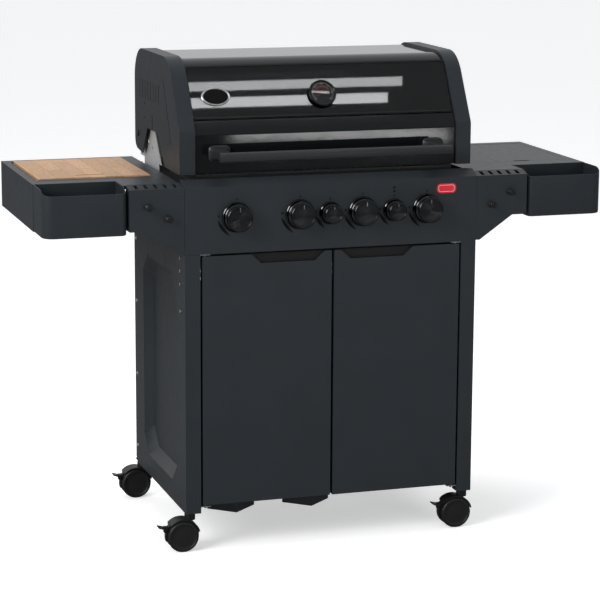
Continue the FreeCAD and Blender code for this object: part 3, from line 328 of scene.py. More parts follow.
def finishes():
    """Every finish by the name of its record slot, and a few more for added pieces."""
    if MATERIALS:
        return MATERIALS
    colours = bpy.context.scene.grill_colours
    MATERIALS.update({
        "powder_coat": powder_coat(),
        "gloss_enamel": coated("gloss_black_enamel", colours.enamel, 0.09, uneven=(22.0, 0.045, 0.085),
                               grain=(55.0, 1.0, 0.05, 0.0006), Specular_IOR_Level=0.45),
        "window_glass": coated("smoked_glass", (0.30, 0.33, 0.34), 0.015, grain=(3.0, 1.0, 0.02, 0.0004),
                               IOR=1.5, Transmission_Weight=1.0),
        "satin_handle": satin_paint("satin_handle_paint", 0.016),
        "galvanised_steel": galvanised(),
        "bright_steel": brushed("bright_steel", (0.62, 0.62, 0.62), (1.0, 1.0, 25.0)),
        "valve_brass": brushed("machined_brass", (0.60, 0.43, 0.16), (1.0, 25.0, 1.0)),
        "cookbox_enamel": satin_paint("cookbox_enamel", 0.012),
        "cast_iron": coated("enamelled_cast_iron", (0.018, 0.018, 0.019), 0.55, uneven=(150.0, 0.42, 0.68),
                            grain=(420.0, 4.0, 0.5, 0.0005)),
        "beech_board": beech(),
        "knob_metal": spun_metal(),
        "bright_chrome": coated("smoked_chrome", (0.075, 0.078, 0.083), 0.14, 1.0,
                                uneven=(130.0, 0.10, 0.20)),
        "valve_steel": brushed("valve_steel", (0.5, 0.5, 0.5), (1.0, 25.0, 1.0)),
        "caster_black": black_plastic("caster_housing_plastic", 0.007, 0.42),
        "caster_tread": black_plastic("caster_wheel_plastic", 0.009, 0.38),
        "burnt_steel": heat_tinted(),
        "dark_print": plain_print("dark_print", (0.0015, 0.0015, 0.0018), 0.7),
        "pale_print": plain_print("pale_print", (0.62, 0.62, 0.60)),
        "label_red": plain_print("label_red", colours.label, 0.3),
        "needle_red": plain_print("needle_red", (0.26, 0.012, 0.016), 0.35),
        "gauge_glass": coated("gauge_glass", (0.9, 0.9, 0.9), 0.03, IOR=1.45, Transmission_Weight=1.0),
        "seal_rubber": black_plastic("seal_rubber", 0.008, 0.6),
    })
    return MATERIALS


# ---- mesh helpers ------------------------------------------------------
def linked(name, data):
    """A new object in the scene."""
    obj = bpy.data.objects.new(name, data)
    bpy.context.scene.collection.objects.link(obj)
    return obj


def place(name, mesh, body, finish, replaces=(), smooth=35.0):
    """Link a mesh as a piece of a body; smooth is its sharp-edge angle, or None to keep its shading."""
    obj = linked(name, mesh)
    mesh.materials.clear()
    mesh.materials.append(finishes()[finish])
    if smooth is not None:
        mesh.shade_smooth()
        mesh.set_sharp_from_angle(angle=math.radians(smooth))
    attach(obj, body)
    if replaces:
        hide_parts(*replaces)
    return obj


def to_mesh(bm, name):
    """Write a bmesh out with outward normals."""
    bmesh.ops.remove_doubles(bm, verts=bm.verts, dist=1e-6)
    bmesh.ops.recalc_face_normals(bm, faces=bm.faces)
    mesh = bpy.data.meshes.new(name)
    bm.to_mesh(mesh)
    bm.free()
    return mesh


def piece(name, bm, body, finish, replaces=(), smooth=35.0):
    """Write a bmesh out and place it."""
    return place(name, to_mesh(bm, name), body, finish, replaces, smooth)


def baked(mesh, name, add_modifiers):
    """Run modifiers on a mesh and return the resulting plain mesh."""
    holder = linked(name, mesh)
    add_modifiers(holder)
    graph = bpy.context.evaluated_depsgraph_get()
    result = bpy.data.meshes.new_from_object(holder.evaluated_get(graph))
    bpy.data.objects.remove(holder)
    return result


def softened(node_name, width, segments=2):
    """A CAD node's mesh, merged, with its sharp edges rounded."""
    bm = bmesh.new()
    bm.from_mesh(NODES[node_name].data)
    bmesh.ops.remove_doubles(bm, verts=bm.verts, dist=2e-6)
    bmesh.ops.dissolve_limit(bm, angle_limit=math.radians(1.0), verts=bm.verts, edges=bm.edges)
    mesh = bpy.data.meshes.new(node_name)
    bm.to_mesh(mesh)
    bm.free()
    mesh.shade_smooth()

    def round_edges(holder):
        bevel = holder.modifiers.new("round", "BEVEL")
        bevel.width = width
        bevel.segments = segments
        bevel.limit_method = "ANGLE"
        bevel.angle_limit = math.radians(38)
        bevel.use_clamp_overlap = True
        weighted = holder.modifiers.new("flat_faces", "WEIGHTED_NORMAL")
        weighted.mode = "FACE_AREA"
        weighted.weight = 100
    return baked(mesh, node_name, round_edges)


def soft_piece(node_name, width, finish=None, segments=2):
    """Replace a CAD node with its softened copy."""
    slot = SLOT_OF[node_name]
    return place(f"{node_name}_piece", softened(node_name, width, segments), BODY_OF[node_name],
                 finish or slot, [node_name], None)


def lathe(profile, centre=ORIGIN, axis="Y", segments=96, uv=True):
    """Revolve (radius, along) points about an axis through centre; the ends lie on the axis."""
    bm = bmesh.new()
    layer = bm.loops.layers.uv.new("polar") if uv else None
    rings = []
    for radius, along in profile:
        ring = []
        count = 1 if radius < 1e-9 else segments
        for i in range(count):
            turn = 2 * math.pi * i / segments
            a, b = radius * math.cos(turn), radius * math.sin(turn)
            offset = Vector((a, along, b)) if axis == "Y" else Vector((a, b, along))
            ring.append(bm.verts.new(centre + offset))
        rings.append(ring)
    for low, high, (r0, _), (r1, _) in zip(rings, rings[1:], profile, profile[1:]):
        for i in range(segments):
            j = (i + 1) % segments
            corners = [low[i % len(low)], low[j % len(low)], high[j % len(high)], high[i % len(high)]]
            marks = [(i, r0), (i + 1, r0), (i + 1, r1), (i, r1)]
            kept = [(v, m) for k, (v, m) in enumerate(zip(corners, marks)) if v not in corners[:k]]
            if len(kept) < 3:
                continue
            face = bm.faces.new([v for v, _ in kept])
            if layer:
                for loop, (_, (turn, radius)) in zip(face.loops, kept):
                    loop[layer].uv = (turn / segments, radius)
    bmesh.ops.recalc_face_normals(bm, faces=bm.faces)
    return bm


def along_x(bm):
    """Turn a bmesh drawn along +Z to lie along +X."""
    bmesh.ops.rotate(bm, verts=bm.verts, cent=ORIGIN, matrix=Matrix.Rotation(math.pi / 2, 3, "Y"))


def add_block(bm, centre, size, turn=None):
    """Add a bevelled block to a bmesh."""
    made = bmesh.ops.create_cube(bm, size=1.0)
    matrix = Matrix.Translation(centre) @ (turn or Matrix.Identity(4)) @ Matrix.Diagonal((*size, 1))
    bmesh.ops.transform(bm, matrix=matrix, verts=made["verts"])
    edges = list({edge for vert in made["verts"] for edge in vert.link_edges})
    bmesh.ops.bevel(bm, geom=edges, offset=min(size) * 0.18, segments=2, profile=0.6, affect="EDGES")


def block(centre, size, turn=None):
    """A bmesh that holds one bevelled block."""
    bm = bmesh.new()
    add_block(bm, centre, size, turn)
    return bm


def loft(bm, rings, capped=True):
    """Skin a row of closed rings with the same number of points, and close its ends."""
    for first, second in zip(rings, rings[1:]):
        for i in range(len(first)):
            j = (i + 1) % len(first)
            bm.faces.new((first[i], first[j], second[j], second[i]))
    if capped:
        bm.faces.new(rings[0])
        bm.faces.new(list(reversed(rings[-1])))


def slab(outline, y_front, y_back):
    """A closed plate from an (x, z) outline between two depths."""
    bm = bmesh.new()
    loft(bm, [[bm.verts.new((x, y, z)) for x, z in outline] for y in (y_front, y_back)])
    return bm


# ---- geometry nodes ----------------------------------------------------
def repeat_tree(name):
    """A tree that puts an object at each point of a mesh, turned by the turn attribute, as real copies."""
    tree = bpy.data.node_groups.new(name, "GeometryNodeTree")
    for title, way, kind in (("Geometry", "INPUT", "Geometry"), ("Shape", "INPUT", "Object"),
                             ("Finish", "INPUT", "Material"), ("Geometry", "OUTPUT", "Geometry")):
        tree.interface.new_socket(title, in_out=way, socket_type=f"NodeSocket{kind}")
    start = tree.nodes.new("NodeGroupInput")
    end = tree.nodes.new("NodeGroupOutput")
    info = tree.nodes.new("GeometryNodeObjectInfo")
    turn = tree.nodes.new("GeometryNodeInputNamedAttribute")
    turn.data_type = "FLOAT_VECTOR"
    turn.inputs["Name"].default_value = "turn"
    spot = tree.nodes.new("GeometryNodeInstanceOnPoints")
    real = tree.nodes.new("GeometryNodeRealizeInstances")
    paint = tree.nodes.new("GeometryNodeSetMaterial")
    for first, output, second, socket in (
            (start, "Geometry", spot, "Points"), (start, "Shape", info, "Object"),
            (info, "Geometry", spot, "Instance"), (turn, "Attribute", spot, "Rotation"),
            (spot, "Instances", real, "Geometry"), (real, "Geometry", paint, "Geometry"),
            (start, "Finish", paint, "Material"), (paint, "Geometry", end, "Geometry")):
        tree.links.new(first.outputs[output], second.inputs[socket])
    return tree


def repeated(name, shape_mesh, spots, body, finish):
    """Copies of a small mesh at spots, each (position, euler turn), joined into one piece of a body."""
    tree = bpy.data.node_groups.get("copies_at_points") or repeat_tree("copies_at_points")
    shape = linked(f"{name}_shape", shape_mesh)
    points = bpy.data.meshes.new(f"{name}_points")
    points.from_pydata([tuple(position) for position, _ in spots], [], [])
    turns = points.attributes.new("turn", "FLOAT_VECTOR", "POINT")
    for i, (_, turn) in enumerate(spots):
        turns.data[i].vector = turn

    def add_copies(holder):
        modifier = holder.modifiers.new("copies", "NODES")
        modifier.node_group = tree
        inputs = {item.name: item.identifier for item in tree.interface.items_tree if item.in_out == "INPUT"}
        modifier[inputs["Shape"]] = shape
        modifier[inputs["Finish"]] = finishes()[finish]
    mesh = baked(points, name, add_copies)
    bpy.data.objects.remove(shape)
    return place(name, mesh, body, finish)


# ---- cabinet and shelves -----------------------------------------------
def build_cabinet():
    """Folded sheet parts of the cart, with rounded edges."""
    edge = bpy.context.scene.grill_sizes.sheet_edge
    for name in ("side_panel_left", "side_panel_right", "door_left", "door_right", "control_panel",
                 "shelf_brackets", "floor_pan", "back_panel"):
        soft_piece(name, edge * PANEL_SHARE)
    for name in ("base_rails", "tray_rails"):
        soft_piece(name, edge * RAIL_SHARE)


def build_shelves():
    """Shelves, their bins and the flush cover."""
    edge = bpy.context.scene.grill_sizes.sheet_edge
    for name in ("shelf_left", "shelf_right", "side_burner_cover"):
        soft_piece(name, edge * PANEL_SHARE)
    for _, label in SIDES:
        name = f"shelf_bin_{label}"
        mesh = bin_mesh(*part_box(name))
        place(f"{name}_piece", mesh, "cart", "powder_coat", [name], smooth=32)


def bin_outline(low, high, inset):
    """Points (x, y) round a bin seen from above, inset; its outer front corner has the larger radius."""
    y0, y1 = low.y + inset, high.y - inset
    stations = [y1, y1 - 0.03, y0 + 0.060, y0 + 0.050, y0 + 0.042, y0 + 0.036, y0 + 0.031]
    left_radius, right_radius = BIN_CORNERS if low.x < 0 else reversed(BIN_CORNERS)
    points = []
    for x, way, radius in ((low.x + inset, 1, left_radius), (high.x - inset, -1, right_radius)):
        corner = radius - inset
        run = [(x, y) for y in stations]
        for k in range(9):
            turn = math.pi / 2 * k / 8
            run.append((x + way * (corner - math.cos(turn) * corner), y0 + corner - math.sin(turn) * corner))
        points += run if way > 0 else list(reversed(run))
    return points


def bin_mesh(low, high):
    """Folded bin: rounded front corners, side walls whose rim rolls down to the lower front lip."""
    wall, foot, lip = 0.002, high.z - BIN_HEIGHT, high.z - BIN_LIP_DROP

    def rim(y):
        share = min(max((y - low.y) / BIN_ROLL_LENGTH, 0.0), 1.0)
        return lip + (high.z - lip) * (share * share * (3 - 2 * share))

    edge, crown = "edge", "crown"
    bm = bmesh.new()
    rows = []
    for inset, level in ((0.0030, foot), (0.0009, foot + 0.0009), (0.0, foot + 0.003), (0.0, edge),
                         (wall * 0.3, crown), (wall * 0.7, crown), (wall, edge),
                         (wall, foot + 0.005), (wall + 0.003, foot + 0.002)):
        row = []
        for (x, y), (_, y_outer) in zip(bin_outline(low, high, inset), bin_outline(low, high, 0.0)):
            z = level
            if level in (edge, crown):
                z = rim(y_outer) - (0.0006 if level == edge else 0.0)
            row.append(bm.verts.new((x, y, z)))
        rows.append(row)
    loft(bm, rows)
    return to_mesh(bm, "shelf_bin")


def screw_head():
    """Low round screw head with a raised cross, lying along +X."""
    profile = [(0.0, 0.0026), (0.0028, 0.0024), (0.0042, 0.0014), (0.0046, 0.0), (0.0, 0.0)]
    bm = lathe(profile, axis="Z", segments=20, uv=False)
    for turn in (0, math.pi / 2):
        add_block(bm, Vector((0, 0, 0.0023)), (0.0038, 0.0007, 0.0012), Matrix.Rotation(turn, 4, "Z"))
    along_x(bm)
    return to_mesh(bm, "screw_head")


def build_fittings():
    """Powder-coated pins and the brackets of the doors, a dark stop strip above them, and screw heads on the
    sheets.
    """
    door_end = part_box("door_right")[1].x
    strip = block(Vector((0, FRONT + 0.0215, PANEL_BOTTOM - 0.007)), (2 * door_end, 0.002, 0.012))
    piece("door_stop_strip", strip, "cart", "seal_rubber")
    soft_piece("cabinet_fittings", 0.0004)
    soft_piece("hinge_pins", 0.0008, finish="powder_coat")
    soft_piece("hinge_plates", 0.0004)
    soft_piece("caster_stems", 0.0005)
    _, (half, back, _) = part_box("side_panel_right")
    turns = {-1: (0, 0, math.pi), 1: (0, 0, 0)}
    spots = [((side * half, back - 0.02, z), turns[side]) for side, _ in SIDES for z in SIDE_SCREWS_Z]
    repeated("side_screw_heads", screw_head(), spots, "cart", "bright_steel")
    turn = (0, 0, math.pi / 2)
    spots = [((side * BACK_SCREWS_X, back, z), turn) for side, _ in SIDES for z in BACK_SCREWS_Z]
    repeated("back_screw_heads", screw_head(), spots, "cart", "bright_steel")


def build_pegs():
    """Hook pegs on the shelf brackets, and rubber pads between brackets and bins."""
    profile = [(0.0, 0.004), (0.0078, 0.004), (0.0084, 0.003), (0.0084, 0.001), (0.0062, -0.0005),
               (0.0056, -0.006), (0.0062, -0.0085), (0.0078, -0.0100), (0.0080, -0.0118),
               (0.0068, -0.0130), (0.0, -0.0134)]
    bracket_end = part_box("shelf_brackets")[1].x
    depth, height = 0.026, 0.078
    for side, label in SIDES:
        bm = bmesh.new()
        for x, z in PEG_PLACES:
            peg = lathe(profile, Vector((side * x, FRONT - 0.004, z)), segments=32, uv=False)
            bm.from_mesh(to_mesh(peg, "peg"))
        piece(f"hook_pegs_{label}", bm, "cart", "caster_black")
        bin_low, bin_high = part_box(f"shelf_bin_{label}")
        inner = bin_high.x if side < 0 else bin_low.x
        middle = (inner + side * bracket_end) / 2 if abs(inner) > bracket_end else inner
        gap = max(abs(abs(inner) - bracket_end) - 0.0004, 0.001)
        pad = block(Vector((middle, FRONT + 0.020 + depth / 2, 0.828)), (gap, depth, height))
        piece(f"bin_pad_{label}", pad, "cart", "seal_rubber")


# ---- lid ---------------------------------------------------------------
def slope_frame(z):
    """Point at a height on the sloping front, in the middle of the lid, and the outward normal there."""
    lean = bpy.context.scene.grill_sizes.lean
    normal = Vector((0, -1, lean)).normalized()
    along = Vector((0, lean, 1)).normalized()
    front = max((vert.co for vert in NODES["lid_window"].data.vertices), key=lambda co: co.dot(normal))
    base = Vector((0, front.y, front.z))
    return base + along * ((z - base.z) / along.z), normal


def slope_turn(normal):
    """Rotation from facing -Y to facing out of the sloping front."""
    return Matrix.Rotation(-math.atan2(normal.z, -normal.y), 4, "X")


def on_slope(bm, spot):
    """Move a bmesh drawn about the origin, facing -Y, onto a spot of the sloping front."""
    point, normal = spot
    bmesh.ops.transform(bm, matrix=Matrix.Translation(point) @ slope_turn(normal), verts=bm.verts)


def slope_piece(name, bm, spot, finish, replaces=()):
    """Place a bmesh drawn about the origin as a piece on the lid's sloping front."""
    on_slope(bm, spot)
    return piece(name, bm, "lid", finish, replaces)


def build_lid():
    """Lid shell and end caps."""
    edge = bpy.context.scene.grill_sizes.sheet_edge
    soft_piece("lid_shell", edge * 0.5, segments=3)
    for _, label in SIDES:
        soft_piece(f"lid_cap_{label}", edge * 0.7, segments=3)


def build_window():
    """Glass with polished edges and a dark seal along its top and bottom."""
    soft_piece("lid_window", 0.0006)
    low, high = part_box("lid_window")
    for name, z in (("window_seal_low", low.z + 0.006), ("window_seal_high", high.z - 0.001)):
        point, normal = slope_frame(z)
        size = (high.x - low.x - 0.001, 0.0016, 0.0042)
        piece(name, block(point + normal * 0.0003, size, slope_turn(normal)), "lid", "seal_rubber")


def handle_foot(x, handle_y, root_y, z):
    """One flared foot from the bar's middle to the lid, with rounded rectangular sections."""
    corner_power, points = 0.45, 32
    bm = bmesh.new()
    rings = []
    for y, half_x, half_z in ((root_y, 0.0262, 0.0190), (root_y - 0.004, 0.0262, 0.0190),
                              (root_y - 0.006, 0.0235, 0.0165), (root_y - 0.030, 0.0150, 0.0112),
                              (handle_y + 0.006, 0.0140, 0.0098), (handle_y, 0.0135, 0.0090)):
        ring = []
        for i in range(points):
            turn = 2 * math.pi * i / points
            across, up = math.cos(turn), math.sin(turn)
            dx = math.copysign(abs(across) ** corner_power, across) * half_x
            dz = math.copysign(abs(up) ** corner_power, up) * half_z
            ring.append(bm.verts.new((x + dx, y, z + dz)))
        rings.append(ring)
    loft(bm, rings)
    return bm


def build_handle():
    """Round bar with domed ends on two flared feet."""
    low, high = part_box("lid_handle")
    radius = 0.012
    centre_y, centre_z = low.y + radius, (low.z + high.z) / 2
    reach = high.x - 0.005
    end = [(0.0, -reach), (radius * 0.62, -reach), (radius * 0.92, -reach + 0.0012), (radius, -reach + 0.004)]
    profile = end + [(radius, 0.0)] + [(r, -along) for r, along in reversed(end)]
    bm = lathe(profile, axis="Z", segments=48, uv=False)
    along_x(bm)
    bmesh.ops.translate(bm, verts=bm.verts, vec=(0, centre_y, centre_z))
    piece("handle_bar", bm, "lid", "satin_handle", ["lid_handle"])
    for side, label in SIDES:
        foot = handle_foot(side * (reach - 0.021), centre_y, high.y, centre_z)
        piece(f"handle_foot_{label}", foot, "lid", "satin_handle")


def gauge_marks(radius):
    """Long and short marks round the dial."""
    count = bpy.context.scene.grill_sizes.gauge_marks
    bm = bmesh.new()
    for i in range(count):
        turn = math.radians(-40 + 260 * i / (count - 1))
        length, wide = (0.0050, 0.0011) if i % 4 == 0 else (0.0028, 0.0007)
        reach = radius * 0.78 - length / 2
        where = Vector((math.cos(turn) * reach, -0.0078, math.sin(turn) * reach))
        add_block(bm, where, (length, 0.0003, wide), Matrix.Rotation(-turn, 4, "Y"))
    return bm


def gauge_needle(radius):
    """Needle on its hub, and the red zone of the dial: a flat strip, so its normals stay as drawn."""
    turn = math.radians(205)
    where = Vector((math.cos(turn) * 0.008, -0.0084, math.sin(turn) * 0.008))
    bm = block(where, (0.024, 0.0005, 0.0014), Matrix.Rotation(-turn, 4, "Y"))
    hub = lathe([(0.0, -0.0080), (0.0030, -0.0080), (0.0030, -0.0092), (0.0, -0.0095)], segments=24)
    bm.from_mesh(to_mesh(hub, "hub"))
    steps, row = 24, []
    for i in range(steps + 1):
        angle = math.radians(20 + 140 * i / steps)
        x, z = math.cos(angle), math.sin(angle)
        row.append([bm.verts.new((x * r, -0.0078, z * r)) for r in (radius * 0.46, radius * 0.56)])
    for first, second in zip(row, row[1:]):
        bm.faces.new((first[0], first[1], second[1], second[0]))
    return bm


def build_thermometer():
    """Gauge with a stepped rim, dark dial, marks, needle, domed glass and probe."""
    low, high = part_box("thermometer")
    r = (high.x - low.x) / 2
    spot = slope_frame(GAUGE_Z)
    rim = [(0.0, -0.0004), (r * 0.86, -0.0004), (r * 0.92, -0.0022), (r * 0.995, -0.0035), (r, -0.0060),
           (r * 0.985, -0.0090), (r * 0.95, -0.0108), (r * 0.90, -0.0114), (r * 0.87, -0.0108),
           (r * 0.855, -0.0085), (r * 0.85, -0.0070), (0.0, -0.0070)]
    slope_piece("gauge_rim", lathe(rim, segments=80), spot, "bright_chrome", ["thermometer"])
    dial = [(0.0, -0.0072), (r * 0.84, -0.0072), (r * 0.84, -0.0076), (0.0, -0.0076)]
    slope_piece("gauge_dial", lathe(dial, segments=64), spot, "dark_print")
    slope_piece("gauge_marks", gauge_marks(r), spot, "pale_print")
    bm = gauge_needle(r)
    on_slope(bm, spot)
    mesh = bpy.data.meshes.new("gauge_needle")
    bm.to_mesh(mesh)
    bm.free()
    place("gauge_needle", mesh, "lid", "needle_red")
    dome = [(0.0, -0.0112), (r * 0.4, -0.0110), (r * 0.7, -0.0104), (r * 0.845, -0.0098),
            (r * 0.845, -0.0092), (r * 0.7, -0.0097), (r * 0.4, -0.0103), (0.0, -0.0105)]
    slope_piece("gauge_dome", lathe(dome, segments=64), spot, "gauge_glass")
    probe = [(0.0, 0.0046), (0.0088, 0.0046), (0.0092, 0.0052), (0.0092, 0.0086), (0.0085, 0.0092),
             (0.0027, 0.0095), (0.0025, 0.0420), (0.0015, 0.0440), (0.0, 0.0442)]
    slope_piece("gauge_probe", lathe(probe, segments=24), spot, "bright_steel")


def build_badge():
    """Blank oval plate with a bright rim on the window."""
    point, normal = slope_frame(BADGE_Z)
    point.x = BADGE_X
    rim = [(0.0, -0.0002), (0.0250, -0.0002), (0.0262, -0.0010), (0.0262, -0.0022), (0.0254, -0.0030),
           (0.0238, -0.0030), (0.0232, -0.0022), (0.0, -0.0020)]
    field = [(0.0, -0.0021), (0.0226, -0.0021), (0.0226, -0.0025), (0.0, -0.0027)]
    for name, profile, segments, finish, slot in (("badge_rim", rim, 72, "bright_steel", "bright_chrome"),
                                                  ("badge_field", field, 64, "dark_print", None)):
        bm = lathe(profile, segments=segments)
        bmesh.ops.scale(bm, verts=bm.verts, vec=(1.34, 1, 0.86))
        slope_piece(name, bm, (point, normal), finish)


# ---- controls ----------------------------------------------------------
def knob_frame(name):
    """Centre of a knob on its turning axis, its radius, and its box."""
    low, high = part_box(name)
    pos = JOINT[f"{name}_turn"]["pos_m"]
    return Vector((pos[0], 0, pos[2])), (high.x - low.x) / 2, low, high


def build_knobs():
    """Turned knobs: chromed skirt, dark barrel with a rolled edge, dished spun face and a pointer line."""
    for name in KNOB_NAMES:
        centre, radius, low, high = knob_frame(name)
        back, front = high.y, low.y + 0.001
        grip = radius - 0.0012
        skirt = [(0.0, back), (radius * 0.95, back), (radius * 0.98, back - 0.0008),
                 (radius * 0.98, back - 0.0040), (radius * 0.95, back - 0.0052), (grip * 0.88, back - 0.0062),
                 (0.0, back - 0.0062)]
        piece(f"{name}_skirt", lathe(skirt, centre), name, "bright_chrome", [name])
        barrel = [(0.0, back - 0.0060), (grip * 0.90, back - 0.0060), (grip * 0.91, back - 0.0075),
                  (grip * 0.97, front + 0.0090), (grip, front + 0.0060), (grip, front + 0.0036),
                  (grip - 0.0005, front + 0.0018), (grip - 0.0016, front + 0.0005), (grip - 0.0030, front),
                  (grip - 0.0040, front + 0.0003), (grip - 0.0048, front + 0.0010)]
        dish = 0.0012
        face = [(grip * share, front + 0.0010 + dish * (1 - share * share))
                for share in (0.75, 0.5, 0.25, 0.1)]
        bm = lathe(barrel + face + [(0.0, front + 0.0010 + dish)], centre)
        piece(f"{name}_grip", bm, name, "knob_metal", smooth=50)
        where = Vector((centre.x, front + 0.0008, centre.z + grip * 0.68))
        piece(f"{name}_pointer", block(where, (0.0014, 0.0018, grip * 0.30)), name, "bright_steel")


def build_bezels():
    """Dished rings behind the knobs."""
    for i, name in enumerate(KNOB_NAMES, start=1):
        centre, knob_radius, _, _ = knob_frame(name)
        outer = knob_radius + BEZEL_MARGIN
        inner = outer - 0.0090
        ring = [(inner, FRONT), (outer, FRONT), (outer + 0.0002, FRONT - 0.0010),
                (outer - 0.0008, FRONT - 0.0036), (outer - 0.0024, FRONT - 0.0050),
                (outer - 0.0050, FRONT - 0.0046), (outer - 0.0082, FRONT - 0.0030), (inner, FRONT - 0.0026),
                (inner, FRONT)]
        piece(f"bezel_{i}", lathe(ring, centre), "cart", "bright_chrome", ["knob_bezels"])


def arc_print(bm, centre, r0, r1, start, end, y):
    """Add a raised printed arc round a centre, widest in its middle."""
    steps, thick = 28, 0.00015
    rows = []
    for i in range(steps + 1):
        share = i / steps
        angle = math.radians(start + (end - start) * share)
        inner = r1 - (r1 - r0) * math.sin(math.pi * (0.08 + 0.9 * share))
        rows.append([bm.verts.new((centre.x + math.cos(angle) * r, depth, centre.z + math.sin(angle) * r))
                     for r, depth in ((inner, y), (r1, y), (r1, y - thick), (inner, y - thick))])
    loft(bm, rows)


def label_outline(half_x, half_z, corner):
    """Rounded rectangle (x, z) about the label's middle."""
    points = []
    for way_x, way_z, start in ((1, 1, 0), (-1, 1, 90), (-1, -1, 180), (1, -1, 270)):
        for k in range(7):
            angle = math.radians(start + 15 * k)
            points.append((LABEL_X + way_x * (half_x - corner) + math.cos(angle) * corner,
                           LABEL_Z + way_z * (half_z - corner) + math.sin(angle) * corner))
    return points


def build_marks():
    """Printed marks round the knobs, and a plain label with a thin line."""
    print_y = FRONT - 0.0001
    bm = bmesh.new()
    for name in KNOB_NAMES:
        centre, knob_radius, _, _ = knob_frame(name)
        radius = knob_radius + BEZEL_MARGIN
        for dx, dz, width, height in ((0, radius + 0.0065, 0.0026, 0.0060),
                                      (-radius - 0.0075, 0.004, 0.0044, 0.0044)):
            add_block(bm, Vector((centre.x + dx, print_y, centre.z + dz)), (width, 0.0003, height))
        arc_print(bm, centre, radius + 0.0030, radius + 0.0105, 188, 250, FRONT - 0.00002)
    centre = knob_frame(KNOB_NAMES[-1])[0]
    for lift in (0.045, 0.054):
        dot = lathe([(0.0, FRONT), (0.0028, FRONT), (0.0028, FRONT - 0.0002), (0.0, FRONT - 0.0002)],
                    centre + Vector((0, 0, lift)), segments=20, uv=False)
        bm.from_mesh(to_mesh(dot, "dot"))
    piece("panel_marks", bm, "cart", "dark_print")
    label = slab(label_outline(0.0245, 0.0115, 0.0095), FRONT - 0.0007, FRONT)
    piece("panel_label", label, "cart", "label_red")
    bm = bmesh.new()
    outer, inner = label_outline(0.0205, 0.0080, 0.0062), label_outline(0.0198, 0.0073, 0.0055)
    rows = [[bm.verts.new((x, FRONT - depth, z)) for x, z in ring]
            for ring, depth in ((outer, 0.0006), (outer, 0.0009), (inner, 0.0009), (inner, 0.0006))]
    loft(bm, rows + rows[:1], capped=False)
    piece("label_line", bm, "cart", "pale_print")


# ---- scoops and board --------------------------------------------------
def build_scoops():
    """Dark plates in the finger scoops of the doors: painted shade of the recesses."""
    for side, label in SIDES:
        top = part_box(f"door_{label}")[1].z
        corners = ((0.0225, 0.0008), (0.1995, 0.0008), (0.1785, 0.0212), (0.0435, 0.0212))
        # dark plate on each scoop's back wall: painted shade where the recess lies in shadow
        liner = slab([(side * x, top - drop) for x, drop in corners], FRONT + 0.0090, FRONT + 0.0098)
        piece(f"scoop_liner_{label}", liner, f"door_{label}", "seal_rubber")


def build_board():
    """Staved wooden board with rounded edges."""
    edge = bpy.context.scene.grill_sizes.board_edge
    soft_piece("cutting_board", edge, segments=4)


# ---- cookbox -----------------------------------------------------------
def build_cookbox():
    """Cookbox, grates, burners, tents, rack, manifold, tray and side burner."""
    edge = bpy.context.scene.grill_sizes.casting_edge
    for name, share, finish in (("firebox", 1.0, None), ("cooking_grates", 1.4, None),
                                ("side_burner", 1.0, None), ("warming_rack", 0.4, None),
                                ("burners", 0.4, "burnt_steel"),
                                ("heat_tents", 0.3, "burnt_steel"), ("gas_manifold", 0.8, None),
                                ("grease_tray", 0.4, None), ("firebox_brackets", 0.4, "cookbox_enamel")):
        soft_piece(name, edge * share, finish)
    for i in range(1, 7):
        soft_piece(f"valve_stem_{i}", 0.0004)


def port_mesh():
    """Punched burner port: a shallow collar."""
    profile = [(0.0, 0.0001), (0.0012, 0.0001), (0.0015, 0.0005), (0.0019, 0.0004), (0.0021, 0.0),
               (0.0, -0.0002)]
    return to_mesh(lathe(profile, axis="Z", segments=10, uv=False), "burner_port")


def build_ports():
    """Two rows of ports along every burner, and a ring of them on the side burner."""
    low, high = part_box("burners")
    pitch = bpy.context.scene.grill_sizes.port_pitch
    radius = (high.z - low.z) / 2
    centre_z = (high.z + low.z) / 2
    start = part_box("firebox")[0].y + 0.03
    spots = []
    for name in KNOB_NAMES[:4]:
        x = knob_frame(name)[0].x
        for k in range(int((high.y - 0.012 - start) / pitch)):
            for side in (-1, 1):
                tilt = side * math.radians(62)
                where = (x + math.sin(tilt) * radius, start + k * pitch, centre_z + math.cos(tilt) * radius)
                spots.append((where, (0, tilt, 0)))
    repeated("burner_ports", port_mesh(), spots, "cart", "dark_print")
    low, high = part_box("side_burner")
    middle = (low + high) / 2
    count, ring_radius, crown_z = 36, 0.046, low.z + 0.028
    spots = []
    for k in range(count):
        turn = 2 * math.pi * k / count
        where = (middle.x + math.cos(turn) * ring_radius, middle.y + math.sin(turn) * ring_radius, crown_z)
        spots.append((where, (0, math.pi / 2, turn)))
    repeated("side_burner_ports", port_mesh(), spots, "cart", "dark_print")


# ---- casters -----------------------------------------------------------
def rib_mesh():
    """One low rib across a tread."""
    return to_mesh(block(ORIGIN, (0.0011, 0.0085, 0.0007)), "tread_rib")


def wheel_profile(r, half, inner):
    """Profile (radius, along) of a twin wheel: two treads, dished faces with caps, and a thin hub between."""
    one = [(0.0040, 0.0), (0.0040, inner), (r - 0.0030, inner), (r - 0.0012, inner + 0.0006),
           (r - 0.0002, inner + 0.0022), (r, inner + 0.0045), (r, half - 0.0055), (r - 0.0004, half - 0.0030),
           (r - 0.0016, half - 0.0010), (r - 0.0034, half), (r - 0.0062, half), (r - 0.0070, half - 0.0008),
           (r - 0.0078, half - 0.0014), (0.0200, half - 0.0009), (0.0100, half - 0.0004),
           (0.0, half - 0.0002)]
    return [(0.0, -half)] + [(a, -b) for a, b in reversed(one[:-1])] + one[1:]


